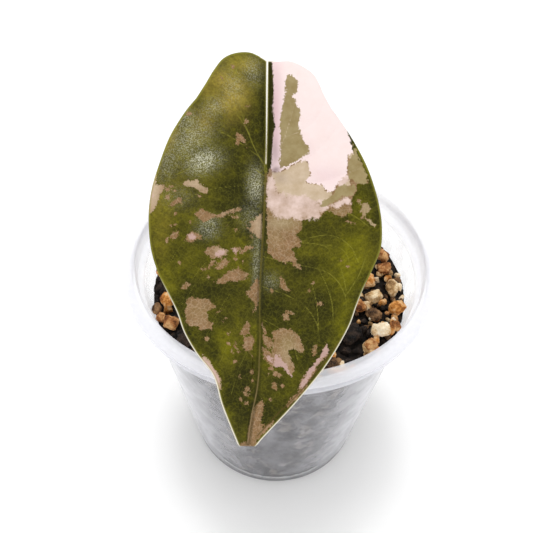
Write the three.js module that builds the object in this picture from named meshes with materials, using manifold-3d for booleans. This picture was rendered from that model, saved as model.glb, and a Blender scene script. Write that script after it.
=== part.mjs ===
// A young variegated alocasia with a single leaf, in a clear nursery cup.
// Units are millimetres and +Z is up. The origin is the middle of the cup's underside.

import * as THREE from "three";
import { mergeGeometries, mergeVertices } from "three/addons/utils/BufferGeometryUtils.js";
import Module from "manifold-3d";

const wasm = await Module();
wasm.setup();

// Driving dimensions of the cup
const CUP_HEIGHT = 85;
const RIM_RADIUS = 45;
const MOUTH_RADIUS = 40.6;
const FOOT_RADIUS = 29;
const CUP_WALL = 0.9;
const BASE_THICKNESS = 1.2;
const LIP_DEPTH = 2.4;
const RING_DROP = 5.6;
const RING_RADIUS = 43.6;
const RING_THICKNESS = 0.9;
const DRAIN_COUNT = 8;
const DRAIN_RADIUS = 2.2;
const DRAIN_CIRCLE = 19;
const DRAIN_SEGMENTS = 16;
const CUP_SEGMENTS = 64;
const FOOT_BEVEL = 1.1;
const RING_BEVEL = 0.3;
const LIP_BEVEL = 0.8;
const LIP_UNDERCUT = 0.4;
const INNER_FILLET = 0.9;

// Driving dimensions of what fills the cup
const MIX_TOP = 70;
const MIX_BEVEL = 0.7;
const MIX_SEGMENTS = 56;
const GAP = 0.3;
const CORM_RADIUS = 8;
const CORM_HEIGHT = 14;
const CORM_TOP = 73;
const CORM_FULLNESS = 0.8;
const CORM_ROWS = 12;
const CORM_SEGMENTS = 32;
const ROOT_COUNT = 5;
const ROOT_RADIUS = 0.9;
const ROOT_TAPER = 0.45;
const ROOT_SIDES = 8;
const ROOT_STEPS = 16;
const CHANNEL_STEPS = 18;
const ROOT_SAMPLES = 60;
const ROOT_SAMPLES_IN_CORM = 5;
const ROOT_START_TURN = 0.3;
const ROOT_SWAY = 0.22;

// Route of a root: distance from the axis, height, share of the sway, then what each next root adds to
// the distance and to the height
const ROOT_ROUTE = [
  [6, 65, 0, 0, 0], [13, 59, 0.5, 1, 0], [19, 47, 1, 0, 0],
  [17, 33, 1.6, 1, 0], [21, 20, 1, -1, 0], [18, 9, 0.4, 0, 1],
];

// Driving dimensions of the stalk
const PETIOLE_FOOT_RADIUS = 2.3;
const PETIOLE_NECK_RADIUS = 1.2;
const PETIOLE_THINNING = 0.8;
const PETIOLE_STEPS = 28;
const PETIOLE_SIDES = 12;
const SHEATH_HEIGHT = 17;
const SHEATH_WALL = 0.5;
const SHEATH_CLEARANCE = 0.45;
const SHEATH_BULGE = 1.1;
const SHEATH_FLARE = 0.5;
const SHEATH_DIP = 0.3;
const SHEATH_ROWS = 6;
const SHEATH_SIDES = 20;

// Driving dimensions of the blade, which lies on a plane of its own: X to its right, Y towards its lobes
const JOINT = [-4.2, -30.4, 136.9];
const BLADE_TILT = THREE.MathUtils.degToRad(50);
const BLADE_THICKNESS = 0.8;
const SLIT_WIDTH = 0.4;
const FOLD_Y = -53.6;
const FOLD_RADIUS = 0.9;
const FOLD_ANGLE = THREE.MathUtils.degToRad(120);
const BLADE_ROWS = 40;
const BLADE_COLUMNS = 8;
const SLIT_TAPER = 0.4;
const NORMAL_STEP = 0.05;

// How the blade swells: its halves rise from the midrib and dip in the slit, and it arches along its length
// and droops at the lobes
const MIDRIB_LEAN = 0.055;
const CROSS_LIFT = 2.2;
const CROSS_TURN = 0.75 * Math.PI;
const HALF_WIDTH = 22;
const SINUS_DIP = 0.9;
const SINUS_REACH = 1.6;
const SINUS_START = 4;
const ARCH_LIFT = 1.2;
const ARCH_MIDDLE = -15;
const ARCH_REACH = 38;
const LOBE_DROOP = 2.2;
const LOBE_START = 10;
const LOBE_REACH = 13;

// The joint is the second of the six points of the midrib, and the fold is the fifth
const JOINT_FRACTION = 1 / 5;

// Outline of the blade in millimetres from the joint, each list from the lobes down to the point
const MIDRIB = [[0, 20.8], [0, 0], [-0.75, -19], [-1.05, -37.5], [-2.9, -53.8], [-3.2, -58.2]];
const LEFT_MARGIN = [
  [-12.8, 13.2], [-14.6, 11], [-16.1, 8.8], [-17.8, 5.9], [-19.8, 0.8], [-21.1, -3.4], [-21.7, -7.4],
  [-21.7, -11.5], [-21.2, -15.4], [-19.9, -19.5], [-18.1, -23.2], [-16.4, -26.8], [-15.1, -30.6],
  [-12.9, -34.6], [-9.6, -39.3], [-7.9, -45.4], [-4.9, -53.6], [-4.4, -54.9], [-3.9, -56.2],
  [-3.6, -57.3], [-3.4, -58.2],
];
const RIGHT_MARGIN = [
  [10.7, 13], [12.2, 11.1], [14, 8.7], [16.2, 5.5], [18.7, 1.1], [20.2, -2.6], [21.3, -6.2], [21.9, -10],
  [21.8, -14.2], [20.5, -17.8], [18.8, -21.6], [17.5, -25.2], [16.5, -28.4], [14.6, -32.4], [11.8, -37.2],
  [6.6, -44.3], [-1, -53.9], [-1.6, -55.1], [-2.2, -56.3], [-2.7, -57.3], [-3, -58.2],
];
const LEFT_LOBE_TOP = [
  [0, 20.8], [-1.2, 21.4], [-3.2, 22.1], [-5.9, 21.8], [-8, 20.7], [-9.6, 18.6], [-11.2, 15.8], [-12.8, 13.2],
];
const RIGHT_LOBE_TOP = [
  [0, 20.8], [1.6, 20.5], [4.2, 20.4], [6.4, 19.4], [8.4, 17.9], [9.6, 15.9], [10.7, 13],
];

// Loose pieces that lie in known places: kind, place on the mix, length, width, height, turn in degrees
const PLACED_GRAINS = [
  ["pumice", 32, 10.8, 4.6, 3.4, 3.2, 100],
  ["pumice", 31.4, 5.8, 4.4, 3.6, 3.2, 20],
  ["pumice", 26.6, 1, 4.4, 3.6, 3, 60],
  ["pumice", 33.4, -2.4, 3.4, 5, 3.4, 10],
  ["pumice", 27.4, -5.4, 4.6, 4, 3.4, 35],
  ["bark", 22.8, -8.8, 4.4, 3.4, 2.4, 150],
  ["pumice", 33.6, -10, 5.4, 4.2, 3.8, 160],
  ["bark", 27.4, -12.2, 5, 3.2, 2.4, 120],
  ["pumice", 28, -17.8, 5.2, 3.8, 3.6, 10],
  ["pumice", 32.2, -16, 2.6, 2.6, 2.4, 0],
  ["pumice", 25.2, -22.8, 4.6, 3, 2.8, 45],
  ["bark", 14, -28.6, 5.2, 3.2, 2.2, 20],
  ["bark", 19.6, -19.2, 7.4, 5, 2.8, 60],
  ["pumice", -35, 3.2, 3.2, 3, 2.8, 0],
  ["pumice", -31.4, -8, 5, 4.4, 4, 30],
  ["pumice", -34.8, -11, 2.4, 2.4, 2.2, 0],
  ["bark", -33.2, -13.8, 2.6, 2.4, 2, 80],
  ["pumice", -30, -16.4, 4.8, 4.4, 4, 0],
  ["bark", -25.4, -21.8, 6.6, 4.4, 2.8, 130],
];

// The rest of the loose pieces follow a spiral over the mix
const SPIRAL_TURN = THREE.MathUtils.degToRad(137.5);
const SPIRAL_STEPS = 42;
const SPIRAL_RADIUS = 34.5;
const SPIRAL_CLEARANCE = 7;
const STALK_CLEARANCE = 13;
const SPIRAL_GRAIN = 4.4;
const SPIRAL_GRAIN_SPREAD = 1.4;
const SPIRAL_GRAIN_RHYTHM = 2.3;
const SPIRAL_GRAIN_TURN = 47;
const GRAIN_WIDTH = 0.78;
const PUMICE_HEIGHT = 0.75;
const BARK_HEIGHT = 0.5;
const BARK_EVERY = 3;
const GRAIN_FULLNESS = 0.92;
const GRAIN_RIPPLE = 0.04;
const GRAIN_WAVES = [5, 6, 7];

const FINISH = {
  cup: new THREE.MeshStandardMaterial({ color: 0xe9ebef, roughness: 0.35, metalness: 0 }),
  mix: new THREE.MeshStandardMaterial({ color: 0x231d19, roughness: 0.95, metalness: 0 }),
  corm: new THREE.MeshStandardMaterial({ color: 0x6b4a30, roughness: 0.85, metalness: 0 }),
  root: new THREE.MeshStandardMaterial({ color: 0xcdbd9c, roughness: 0.7, metalness: 0 }),
  petiole: new THREE.MeshStandardMaterial({ color: 0x6d7a33, roughness: 0.45, metalness: 0 }),
  sheath: new THREE.MeshStandardMaterial({ color: 0xa6895c, roughness: 0.8, metalness: 0 }),
  blade: new THREE.MeshStandardMaterial({ color: 0x4c561c, roughness: 0.4, metalness: 0 }),
  pumice: new THREE.MeshStandardMaterial({ color: 0xc68f4c, roughness: 0.9, metalness: 0 }),
  bark: new THREE.MeshStandardMaterial({ color: 0x4a3223, roughness: 0.9, metalness: 0 }),
};

function weld(geometry) {
  const bare = geometry.clone();
  bare.deleteAttribute("normal");
  bare.deleteAttribute("uv");
  const welded = mergeVertices(bare, 1e-4);
  const index = welded.getIndex().array;
  const kept = [];
  for (let i = 0; i < index.length; i += 3) {
    const [a, b, c] = index.slice(i, i + 3);
    if (a !== b && b !== c && c !== a) {
      kept.push(a, b, c);
    }
  }
  welded.setIndex(kept);
  return welded;
}

function toSolid(geometry) {
  const welded = weld(geometry);
  const vertProperties = new Float32Array(welded.getAttribute("position").array);
  const triVerts = new Uint32Array(welded.getIndex().array);
  return new wasm.Manifold(new wasm.Mesh({ numProp: 3, vertProperties, triVerts }));
}

function toGeometry(solid) {
  const { vertProperties, triVerts } = solid.getMesh();
  const geometry = new THREE.BufferGeometry();
  geometry.setAttribute("position", new THREE.BufferAttribute(vertProperties, 3));
  geometry.setIndex(new THREE.BufferAttribute(triVerts, 1));
  geometry.computeVertexNormals();
  return geometry;
}

function turned(profile, segments) {
  const points = profile.map(([radius, height]) => new THREE.Vector2(radius, height));
  return new THREE.LatheGeometry(points, segments).rotateX(Math.PI / 2);
}

function curveThrough(points) {
  return new THREE.CatmullRomCurve3(points.map(([x, y, z = 0]) => new THREE.Vector3(x, y, z)));
}

function tube(curve, steps, sides, radiusAt) {
  const section = new THREE.Shape();
  // An arc is drawn with two sides for each curve segment
  section.absarc(0, 0, 1, 0, 2 * Math.PI);
  const options = { steps, curveSegments: sides / 2, extrudePath: curve, bevelEnabled: false };
  const geometry = new THREE.ExtrudeGeometry(section, options);
  const centres = curve.getSpacedPoints(steps);
  const position = geometry.getAttribute("position");
  const point = new THREE.Vector3();
  for (let i = 0; i < position.count; i += 1) {
    point.fromBufferAttribute(position, i);
    const distances = centres.map((centre) => centre.distanceTo(point));
    const step = distances.indexOf(Math.min(...distances));
    point.sub(centres[step]).multiplyScalar(radiusAt(step / steps)).add(centres[step]);
    position.setXYZ(i, point.x, point.y, point.z);
  }
  return geometry;
}

// The cup: a tapering wall, a step and a stacking ring near the top, and a rolled lip
function wallRadius(height) {
  const taper = (MOUTH_RADIUS - FOOT_RADIUS) / CUP_HEIGHT;
  return FOOT_RADIUS - CUP_WALL + taper * height;
}

function makeCup() {
  const ringTop = CUP_HEIGHT - RING_DROP;
  const ringFoot = ringTop - RING_THICKNESS;
  const lipFoot = CUP_HEIGHT - LIP_DEPTH;
  const neck = MOUTH_RADIUS + CUP_WALL;
  const profile = [
    [0, 0],
    [FOOT_RADIUS - FOOT_BEVEL, 0],
    [FOOT_RADIUS - FOOT_BEVEL / 3, FOOT_BEVEL / 4],
    [FOOT_RADIUS, FOOT_BEVEL],
    [wallRadius(ringFoot) + CUP_WALL, ringFoot],
    [RING_RADIUS - RING_BEVEL, ringFoot],
    [RING_RADIUS, ringFoot + RING_THICKNESS / 2],
    [RING_RADIUS - RING_BEVEL, ringTop],
    [neck, ringTop],
    [neck, lipFoot + LIP_UNDERCUT],
    [RIM_RADIUS - LIP_BEVEL, lipFoot],
    [RIM_RADIUS, lipFoot + LIP_BEVEL],
    [RIM_RADIUS, CUP_HEIGHT - LIP_BEVEL],
    [RIM_RADIUS - LIP_BEVEL, CUP_HEIGHT],
    [MOUTH_RADIUS + LIP_BEVEL, CUP_HEIGHT],
    [MOUTH_RADIUS, CUP_HEIGHT - LIP_BEVEL],
    [MOUTH_RADIUS - RING_BEVEL, ringTop],
    [wallRadius(ringFoot), ringFoot - RING_BEVEL],
    [wallRadius(BASE_THICKNESS) - RING_BEVEL, BASE_THICKNESS + INNER_FILLET],
    [wallRadius(BASE_THICKNESS) - INNER_FILLET, BASE_THICKNESS],
    [0, BASE_THICKNESS],
  ];
  let cup = toSolid(turned(profile, CUP_SEGMENTS));
  for (let i = 0; i < DRAIN_COUNT; i += 1) {
    const angle = (i + 0.5) * (2 * Math.PI / DRAIN_COUNT);
    const drain = new THREE.CylinderGeometry(DRAIN_RADIUS, DRAIN_RADIUS, 3 * BASE_THICKNESS, DRAIN_SEGMENTS);
    drain.rotateX(Math.PI / 2);
    drain.translate(DRAIN_CIRCLE * Math.cos(angle), DRAIN_CIRCLE * Math.sin(angle), BASE_THICKNESS / 2);
    cup = cup.subtract(toSolid(drain));
  }
  return toGeometry(cup);
}

// The corm: a squat round body with a flattened crown
function cormShape(grow) {
  const profile = [];
  for (let i = 0; i <= CORM_ROWS; i += 1) {
    const angle = (i / CORM_ROWS - 0.5) * Math.PI;
    const radius = (CORM_RADIUS + grow) * Math.cos(angle) ** CORM_FULLNESS;
    profile.push([i % CORM_ROWS ? radius : 0, (CORM_HEIGHT / 2 + grow) * Math.sin(angle)]);
  }
  return turned(profile, CORM_SEGMENTS).translate(0, 0, CORM_TOP - CORM_HEIGHT / 2);
}

// The roots: each leaves the corm sideways, then runs down inside the mix
function rootPath(number) {
  const turn = (number + ROOT_START_TURN) * (2 * Math.PI / ROOT_COUNT);
  const sway = ROOT_SWAY * (number % 2 ? 1 : -1);
  const curve = curveThrough(ROOT_ROUTE.map(([distance, height, lag, spread, rise]) => {
    const radius = distance + spread * number;
    const angle = turn + lag * sway;
    return [radius * Math.cos(angle), radius * Math.sin(angle), height + rise * number];
  }));
  return curve.getSpacedPoints(ROOT_SAMPLES);
}

function makeRoot(number) {
  const curve = new THREE.CatmullRomCurve3(rootPath(number).slice(ROOT_SAMPLES_IN_CORM, -1));
  return tube(curve, ROOT_STEPS, ROOT_SIDES, (along) => ROOT_RADIUS * (1 - ROOT_TAPER * along));
}

function rootChannel(number) {
  const curve = new THREE.CatmullRomCurve3(rootPath(number));
  return tube(curve, CHANNEL_STEPS, ROOT_SIDES, () => ROOT_RADIUS + GAP);
}

// The mix: it fills the taper, and keeps a pocket for the corm and a channel for each root
function makeMix() {
  const foot = BASE_THICKNESS + GAP;
  const profile = [
    [0, foot],
    [wallRadius(foot) - INNER_FILLET - GAP, foot],
    [wallRadius(foot) - INNER_FILLET / 2 - GAP, foot + INNER_FILLET],
    [wallRadius(MIX_TOP) - GAP, MIX_TOP - MIX_BEVEL],
    [wallRadius(MIX_TOP) - GAP - MIX_BEVEL, MIX_TOP],
    [0, MIX_TOP],
  ];
  let mix = toSolid(turned(profile, MIX_SEGMENTS)).subtract(toSolid(cormShape(GAP)));
  for (let i = 0; i < ROOT_COUNT; i += 1) {
    mix = mix.subtract(toSolid(rootChannel(i)));
  }
  return toGeometry(mix);
}

// The stalk: it leaves the crown upright, then leans forward and meets the back of the blade
const petioleCurve = curveThrough([
  [0, 0, CORM_TOP + GAP],
  [-0.4, -1.6, 88],
  [-1.5, -7.6, 106],
  [-2.9, -17.8, 122.6],
  [JOINT[0], JOINT[1] + 0.5, JOINT[2] - 0.6],
]);

function petioleRadius(along) {
  return THREE.MathUtils.lerp(PETIOLE_FOOT_RADIUS, PETIOLE_NECK_RADIUS, along ** PETIOLE_THINNING);
}

function stalkCentre(height) {
  const samples = petioleCurve.getSpacedPoints(200);
  return samples.find((point) => point.z >= height);
}

function makeSheath() {
  const inner = [];
  const outer = [];
  for (let i = 0; i <= SHEATH_ROWS; i += 1) {
    const along = i / SHEATH_ROWS;
    const swell = SHEATH_BULGE * (1 - along) ** 2 + SHEATH_FLARE * along ** 3;
    const radius = PETIOLE_FOOT_RADIUS + SHEATH_CLEARANCE + swell;
    outer.push([radius + SHEATH_WALL, along * SHEATH_HEIGHT]);
    inner.unshift([radius, along * SHEATH_HEIGHT]);
  }
  const geometry = turned([...outer, ...inner, outer[0]], SHEATH_SIDES);
  const position = geometry.getAttribute("position");
  for (let i = 0; i < position.count; i += 1) {
    const along = position.getZ(i) / SHEATH_HEIGHT;
    const side = Math.atan2(position.getX(i), -position.getY(i));
    const dip = SHEATH_DIP * along * (1 - Math.cos(side)) / 2;
    const height = CORM_TOP + 2 * GAP + along * SHEATH_HEIGHT * (1 - dip);
    const lean = stalkCentre(height);
    position.setXYZ(i, position.getX(i) + lean.x, position.getY(i) + lean.y, height);
  }
  return geometry;
}

// The blade: both halves run from the slit and midrib out to the margin, and share the midrib
function bladeLift(x, y) {
  const midribX = y > 0 ? 0 : MIDRIB_LEAN * y;
  const reach = Math.abs(x - midribX);
  const cross = CROSS_LIFT * Math.sin(CROSS_TURN * Math.min(reach / HALF_WIDTH, 1));
  const open = THREE.MathUtils.clamp(y / SINUS_START, 0, 1);
  const sinus = -SINUS_DIP * open * Math.exp(-reach / SINUS_REACH);
  const arch = ARCH_LIFT * (1 - ((y - ARCH_MIDDLE) / ARCH_REACH) ** 2);
  const lobes = -LOBE_DROOP * Math.max((y - LOBE_START) / LOBE_REACH, 0) ** 2;
  return cross + sinus + arch + lobes;
}

function foldedPoint(x, y) {
  const past = Math.max(FOLD_Y - y, 0);
  const angle = Math.min(past / FOLD_RADIUS, FOLD_ANGLE);
  const straight = past - angle * FOLD_RADIUS;
  const forward = FOLD_RADIUS * Math.sin(angle) + straight * Math.cos(angle);
  const back = FOLD_RADIUS * (1 - Math.cos(angle)) + straight * Math.sin(angle);
  return new THREE.Vector3(x, Math.max(y, FOLD_Y) - forward, bladeLift(x, Math.max(y, FOLD_Y)) - back);
}

function bladeNormal(x, y) {
  const here = foldedPoint(x, y);
  const right = foldedPoint(x + NORMAL_STEP, y).sub(here);
  const up = foldedPoint(x, y + NORMAL_STEP).sub(here);
  return right.cross(up).normalize();
}

function rowFraction(corner) {
  return Math.round((0.5 - corner.y) * BLADE_ROWS) / BLADE_ROWS;
}

function makeBladeHalf(side, marginPoints, lobePoints) {
  const middle = curveThrough(MIDRIB);
  const margin = curveThrough(marginPoints);
  const lobe = curveThrough(lobePoints);
  const box = new THREE.BoxGeometry(1, 1, 1, BLADE_COLUMNS, BLADE_ROWS, 1).toNonIndexed();
  const position = box.getAttribute("position");
  const kept = [];
  for (let i = 0; i < position.count; i += 3) {
    const corners = [i, i + 1, i + 2].map((j) => new THREE.Vector3().fromBufferAttribute(position, j));
    const shared = corners.every((corner) => (
      corner.x === -0.5 * side && rowFraction(corner) >= JOINT_FRACTION
    ));
    if (!shared) {
      kept.push(...corners);
    }
  }
  const placed = kept.map((corner) => {
    const across = 0.5 + side * corner.x;
    const along = rowFraction(corner);
    const inner = middle.getPoint(along);
    inner.x += side * SLIT_WIDTH / 2 * Math.max(1 - along / JOINT_FRACTION, 0) ** SLIT_TAPER;
    const point = inner.clone().lerp(margin.getPoint(along), across);
    const chord = lobe.getPoint(0).lerp(lobe.getPoint(1), across);
    point.addScaledVector(lobe.getPoint(across).sub(chord), 1 - along);
    const lift = bladeNormal(point.x, point.y).multiplyScalar(BLADE_THICKNESS * corner.z);
    return foldedPoint(point.x, point.y).add(lift);
  });
  return new THREE.BufferGeometry().setFromPoints(placed);
}

function makeBlade() {
  const left = makeBladeHalf(-1, LEFT_MARGIN, LEFT_LOBE_TOP);
  const right = makeBladeHalf(1, RIGHT_MARGIN, RIGHT_LOBE_TOP);
  return weld(mergeGeometries([left, right]));
}

// The loose pieces: rounded pumice and flat chips of bark
function makeGrain(length, width, height, seed) {
  const geometry = new THREE.IcosahedronGeometry(0.5, 1);
  const position = geometry.getAttribute("position");
  const [longWaves, crossWaves, heightWaves] = GRAIN_WAVES;
  const point = new THREE.Vector3();
  for (let i = 0; i < position.count; i += 1) {
    point.fromBufferAttribute(position, i);
    const lengthways = Math.sin(longWaves * point.x + seed);
    const crossways = Math.sin(crossWaves * point.y + 2 * seed);
    const upright = Math.sin(heightWaves * point.z);
    point.multiplyScalar(GRAIN_FULLNESS + GRAIN_RIPPLE * (lengthways + crossways + upright));
    position.setXYZ(i, length * point.x, width * point.y, height * point.z);
  }
  return geometry;
}

function spiralGrains() {
  const grains = [];
  for (let i = 0; i < SPIRAL_STEPS; i += 1) {
    const radius = SPIRAL_RADIUS * Math.sqrt((i + 0.5) / SPIRAL_STEPS);
    const x = radius * Math.cos(i * SPIRAL_TURN);
    const y = radius * Math.sin(i * SPIRAL_TURN);
    const blocked = PLACED_GRAINS.some((grain) => Math.hypot(grain[1] - x, grain[2] - y) < SPIRAL_CLEARANCE);
    if (radius > STALK_CLEARANCE && !blocked) {
      const size = SPIRAL_GRAIN + SPIRAL_GRAIN_SPREAD * Math.sin(SPIRAL_GRAIN_RHYTHM * i);
      const kind = i % BARK_EVERY ? "pumice" : "bark";
      const height = size * (kind === "bark" ? BARK_HEIGHT : PUMICE_HEIGHT);
      grains.push([kind, x, y, size, GRAIN_WIDTH * size, height, SPIRAL_GRAIN_TURN * i]);
    }
  }
  return grains;
}

function addMesh(group, name, geometry, material) {
  const mesh = new THREE.Mesh(geometry, material);
  mesh.name = name;
  group.add(mesh);
  return mesh;
}

const plant = new THREE.Group();
addMesh(plant, "cup", makeCup(), FINISH.cup);
addMesh(plant, "potting_mix", makeMix(), FINISH.mix);
addMesh(plant, "corm", cormShape(0), FINISH.corm);
for (let i = 0; i < ROOT_COUNT; i += 1) {
  addMesh(plant, `root_${i + 1}`, makeRoot(i), FINISH.root);
}
addMesh(plant, "petiole", tube(petioleCurve, PETIOLE_STEPS, PETIOLE_SIDES, petioleRadius), FINISH.petiole);
addMesh(plant, "petiole_sheath", makeSheath(), FINISH.sheath);

const blade = addMesh(plant, "leaf_blade", makeBlade(), FINISH.blade);
blade.position.set(...JOINT);
blade.rotation.x = BLADE_TILT;

const counts = { pumice: 0, bark: 0 };
[...PLACED_GRAINS, ...spiralGrains()].forEach(([kind, x, y, length, width, height, turn], i) => {
  counts[kind] += 1;
  const label = String(counts[kind]).padStart(2, "0");
  const grain = addMesh(plant, `${kind}_${label}`, makeGrain(length, width, height, i), FINISH[kind]);
  grain.position.set(x, y, MIX_TOP + GAP + height / 2);
  grain.rotation.z = THREE.MathUtils.degToRad(turn);
});

export default plant;
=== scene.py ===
# %% [markdown]
# # A young variegated alocasia in a clear nursery cup
# The plant has one leaf, which leans towards the camera over a frosted cup of chunky potting mix.
# The measured solids come first and never move. Every cell after that makes one visible piece, or
# its finish, around them. Lengths are written in millimetres, as a grower would measure them, and
# turned into Blender's metres at the last moment.

# %% Load the measured solids
import math

import bmesh
import bpy
import numpy as np
from mathutils import Matrix, Vector, noise


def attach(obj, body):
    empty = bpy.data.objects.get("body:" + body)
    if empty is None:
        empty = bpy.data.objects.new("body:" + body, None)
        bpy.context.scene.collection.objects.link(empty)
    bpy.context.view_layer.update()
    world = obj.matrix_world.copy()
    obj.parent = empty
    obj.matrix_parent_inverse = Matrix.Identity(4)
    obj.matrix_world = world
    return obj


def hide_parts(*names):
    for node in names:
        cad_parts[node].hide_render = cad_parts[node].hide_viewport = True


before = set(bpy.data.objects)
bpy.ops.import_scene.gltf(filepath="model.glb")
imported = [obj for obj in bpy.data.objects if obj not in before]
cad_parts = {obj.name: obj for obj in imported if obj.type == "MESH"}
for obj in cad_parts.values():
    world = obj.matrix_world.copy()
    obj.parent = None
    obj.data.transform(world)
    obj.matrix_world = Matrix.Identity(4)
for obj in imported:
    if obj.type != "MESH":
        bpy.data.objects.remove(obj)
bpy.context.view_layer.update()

MM = 0.001


# %% [markdown]
# ## The camera
# The picture was taken from in front and above. Its place was worked out from three circles of the
# cup, whose ellipses in the picture only fit one camera. The same numbers are used twice: to set
# Blender's camera, and to ask where a point of the leaf falls in the picture, which is how the
# markings find their place on the leaf later on.

# %% Set the camera
IMAGE_SIDE = 533
FOCAL_PIXELS = 650
SENSOR_WIDTH = 36.0
CAMERA_PLACE = np.array([-3.8, -128.2, 214.9])
CAMERA_PITCH = math.radians(46.87)
CAMERA_ROLL = math.radians(0.8)


def camera_axes():
    """The camera's right, up and ahead directions."""
    ahead = np.array([0, math.cos(CAMERA_PITCH), -math.sin(CAMERA_PITCH)])
    level_up = np.array([0, math.sin(CAMERA_PITCH), math.cos(CAMERA_PITCH)])
    level_right = np.array([1.0, 0, 0])
    right = math.cos(CAMERA_ROLL) * level_right + math.sin(CAMERA_ROLL) * level_up
    up = math.cos(CAMERA_ROLL) * level_up - math.sin(CAMERA_ROLL) * level_right
    return right, up, ahead


def to_pixels(points):
    """Where points, in millimetres, fall in the picture: pixels from its top left corner."""
    right, up, ahead = camera_axes()
    offset = points - CAMERA_PLACE
    depth = offset @ ahead
    across = IMAGE_SIDE / 2 + FOCAL_PIXELS * (offset @ right) / depth
    down = IMAGE_SIDE / 2 - FOCAL_PIXELS * (offset @ up) / depth
    return np.stack([across, down], axis=-1)


def make_camera():
    right, up, ahead = camera_axes()
    data = bpy.data.cameras.new("camera")
    data.sensor_width = SENSOR_WIDTH
    data.lens = FOCAL_PIXELS / IMAGE_SIDE * SENSOR_WIDTH
    data.clip_start = 0.005
    camera = bpy.data.objects.new("camera", data)
    turn = Matrix([right, up, -ahead]).transposed().to_4x4()
    camera.matrix_world = Matrix.Translation(Vector(CAMERA_PLACE * MM)) @ turn
    bpy.context.scene.collection.objects.link(camera)
    bpy.context.scene.camera = camera
    return camera


print("camera lens in mm:", round(make_camera().data.lens, 1))

# %% [markdown]
# ## Light and table
# The cup stands on a white table under one soft ceiling light, nearly overhead, with white walls
# round it. A sun lamp gives the soft shadow under the cup. The even white of the room comes from
# the world background, so that the shadow stays pale. The standard view keeps whites white.

# %% Light the scene
ROOM_LIGHT = 1.0
CEILING_LIGHT = 0.85
CEILING_SOFTNESS = math.radians(13)
CEILING_LEAN = (math.radians(9), math.radians(-3))
TABLE_SIZE = 3.0
TABLE_GREY = 0.975


def light_the_room():
    world = bpy.data.worlds.new("white_room")
    world.use_nodes = True
    background = world.node_tree.nodes["Background"]
    background.inputs["Color"].default_value = (1, 1, 1, 1)
    background.inputs["Strength"].default_value = ROOM_LIGHT
    bpy.context.scene.world = world
    lamp = bpy.data.lights.new("ceiling_light", "SUN")
    lamp.energy = CEILING_LIGHT
    lamp.angle = CEILING_SOFTNESS
    holder = bpy.data.objects.new("ceiling_light", lamp)
    holder.rotation_euler = (-CEILING_LEAN[0], CEILING_LEAN[1], 0)
    bpy.context.scene.collection.objects.link(holder)
    bpy.context.scene.view_settings.view_transform = "Standard"


light_the_room()
print("ceiling light leans", [round(math.degrees(a), 1) for a in CEILING_LEAN], "degrees")

# %% [markdown]
# ## Tools for finishes
# Every finish is a small network of nodes. Writing `node(tree, kind, inputs)` for each box keeps
# the recipe readable: an input may be a number, a colour or another node's output. Colours are
# written as they look on a screen, 0 to 255, and turned into the linear values a shader wants.
# Patterns are sized in millimetres, because the finest of them are fractions of one.

# %% Helpers for materials


def paint(red, green, blue):
    """A screen colour, 0 to 255, as a linear colour."""
    linear = [((c / 255 + 0.055) / 1.055) ** 2.4 for c in (red, green, blue)]
    return (*linear, 1.0)


def grey(value):
    return paint(value, value, value)


def node(tree, kind, inputs=None, **settings):
    """Adds a node. An input may be a number, a colour, or the output of another node."""
    made = tree.nodes.new("ShaderNode" + kind)
    for key, value in settings.items():
        setattr(made, key, value)
    for key, value in (inputs or {}).items():
        if isinstance(value, bpy.types.NodeSocket):
            tree.links.new(value, made.inputs[key])
        else:
            made.inputs[key].default_value = value
    return made


def in_millimetres(tree):
    """The place on the object, in millimetres."""
    place = node(tree, "TexCoord").outputs["Object"]
    return node(tree, "VectorMath", {0: place, "Scale": 1 / MM}, operation="SCALE").outputs[0]


def new_finish(name):
    """A new material, its empty recipe, and the place on the object in millimetres."""
    material = bpy.data.materials.new(name)
    material.use_nodes = True
    tree = material.node_tree
    tree.nodes.clear()
    return material, tree, in_millimetres(tree)


def shaded(tree, colour, roughness, normal=None, specular=0.5):
    """A shader with the given colour, roughness and bump."""
    inputs = {"Base Color": colour, "Roughness": roughness, "Specular IOR Level": specular}
    if normal:
        inputs["Normal"] = normal
    return node(tree, "BsdfPrincipled", inputs).outputs[0]


def finished(tree, shader):
    node(tree, "OutputMaterial", {"Surface": shader})


print("finish helpers ready")

# %% [markdown]
# The patterns come in a few kinds that every finish shares. `grain` is cloudy noise, and `stepped`
# turns a stretch of it into a soft mask. `mark` reads a number that was stored on the mesh, such as
# a distance. Sums and products then combine the masks.

# %% Helpers for patterns


def grain(tree, place, size, detail=3.0, roughness=0.55):
    """Cloudy noise whose lumps are about the given size in millimetres."""
    settings = {"Vector": place, "Scale": 1 / size, "Detail": detail, "Roughness": roughness}
    return node(tree, "TexNoise", settings).outputs["Fac"]


def squeezed(tree, place, shares):
    """The place with each direction multiplied by its share, so that noise on it runs in streaks."""
    return node(tree, "VectorMath", {0: place, 1: shares}, operation="MULTIPLY").outputs[0]


def mark(tree, name):
    """A number stored on the mesh's points."""
    return node(tree, "Attribute", attribute_name=name).outputs["Fac"]


def stepped(tree, value, low, high, start=0.0, end=1.0):
    """Smooth step: start below low, end above high."""
    inputs = {"Value": value, "From Min": low, "From Max": high, "To Min": start, "To Max": end}
    return node(tree, "MapRange", inputs, interpolation_type="SMOOTHSTEP").outputs["Result"]


def maths(tree, operation, first, second=0.0):
    return node(tree, "Math", {0: first, 1: second}, operation=operation).outputs[0]


def sum_of(tree, first, second):
    return maths(tree, "ADD", first, second)


def product(tree, first, second):
    return maths(tree, "MULTIPLY", first, second)


print("pattern helpers ready")

# %% [markdown]
# A mask chooses between colours. `mixed` and `layered` lay one colour over another by it, `ramp` and
# `overlaid` tint by a pattern, and `bumped` raises the surface by one. Kept as functions of a line
# or two, they let a recipe further down read like a list of what is painted over what.

# %% Helpers for colours


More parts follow.
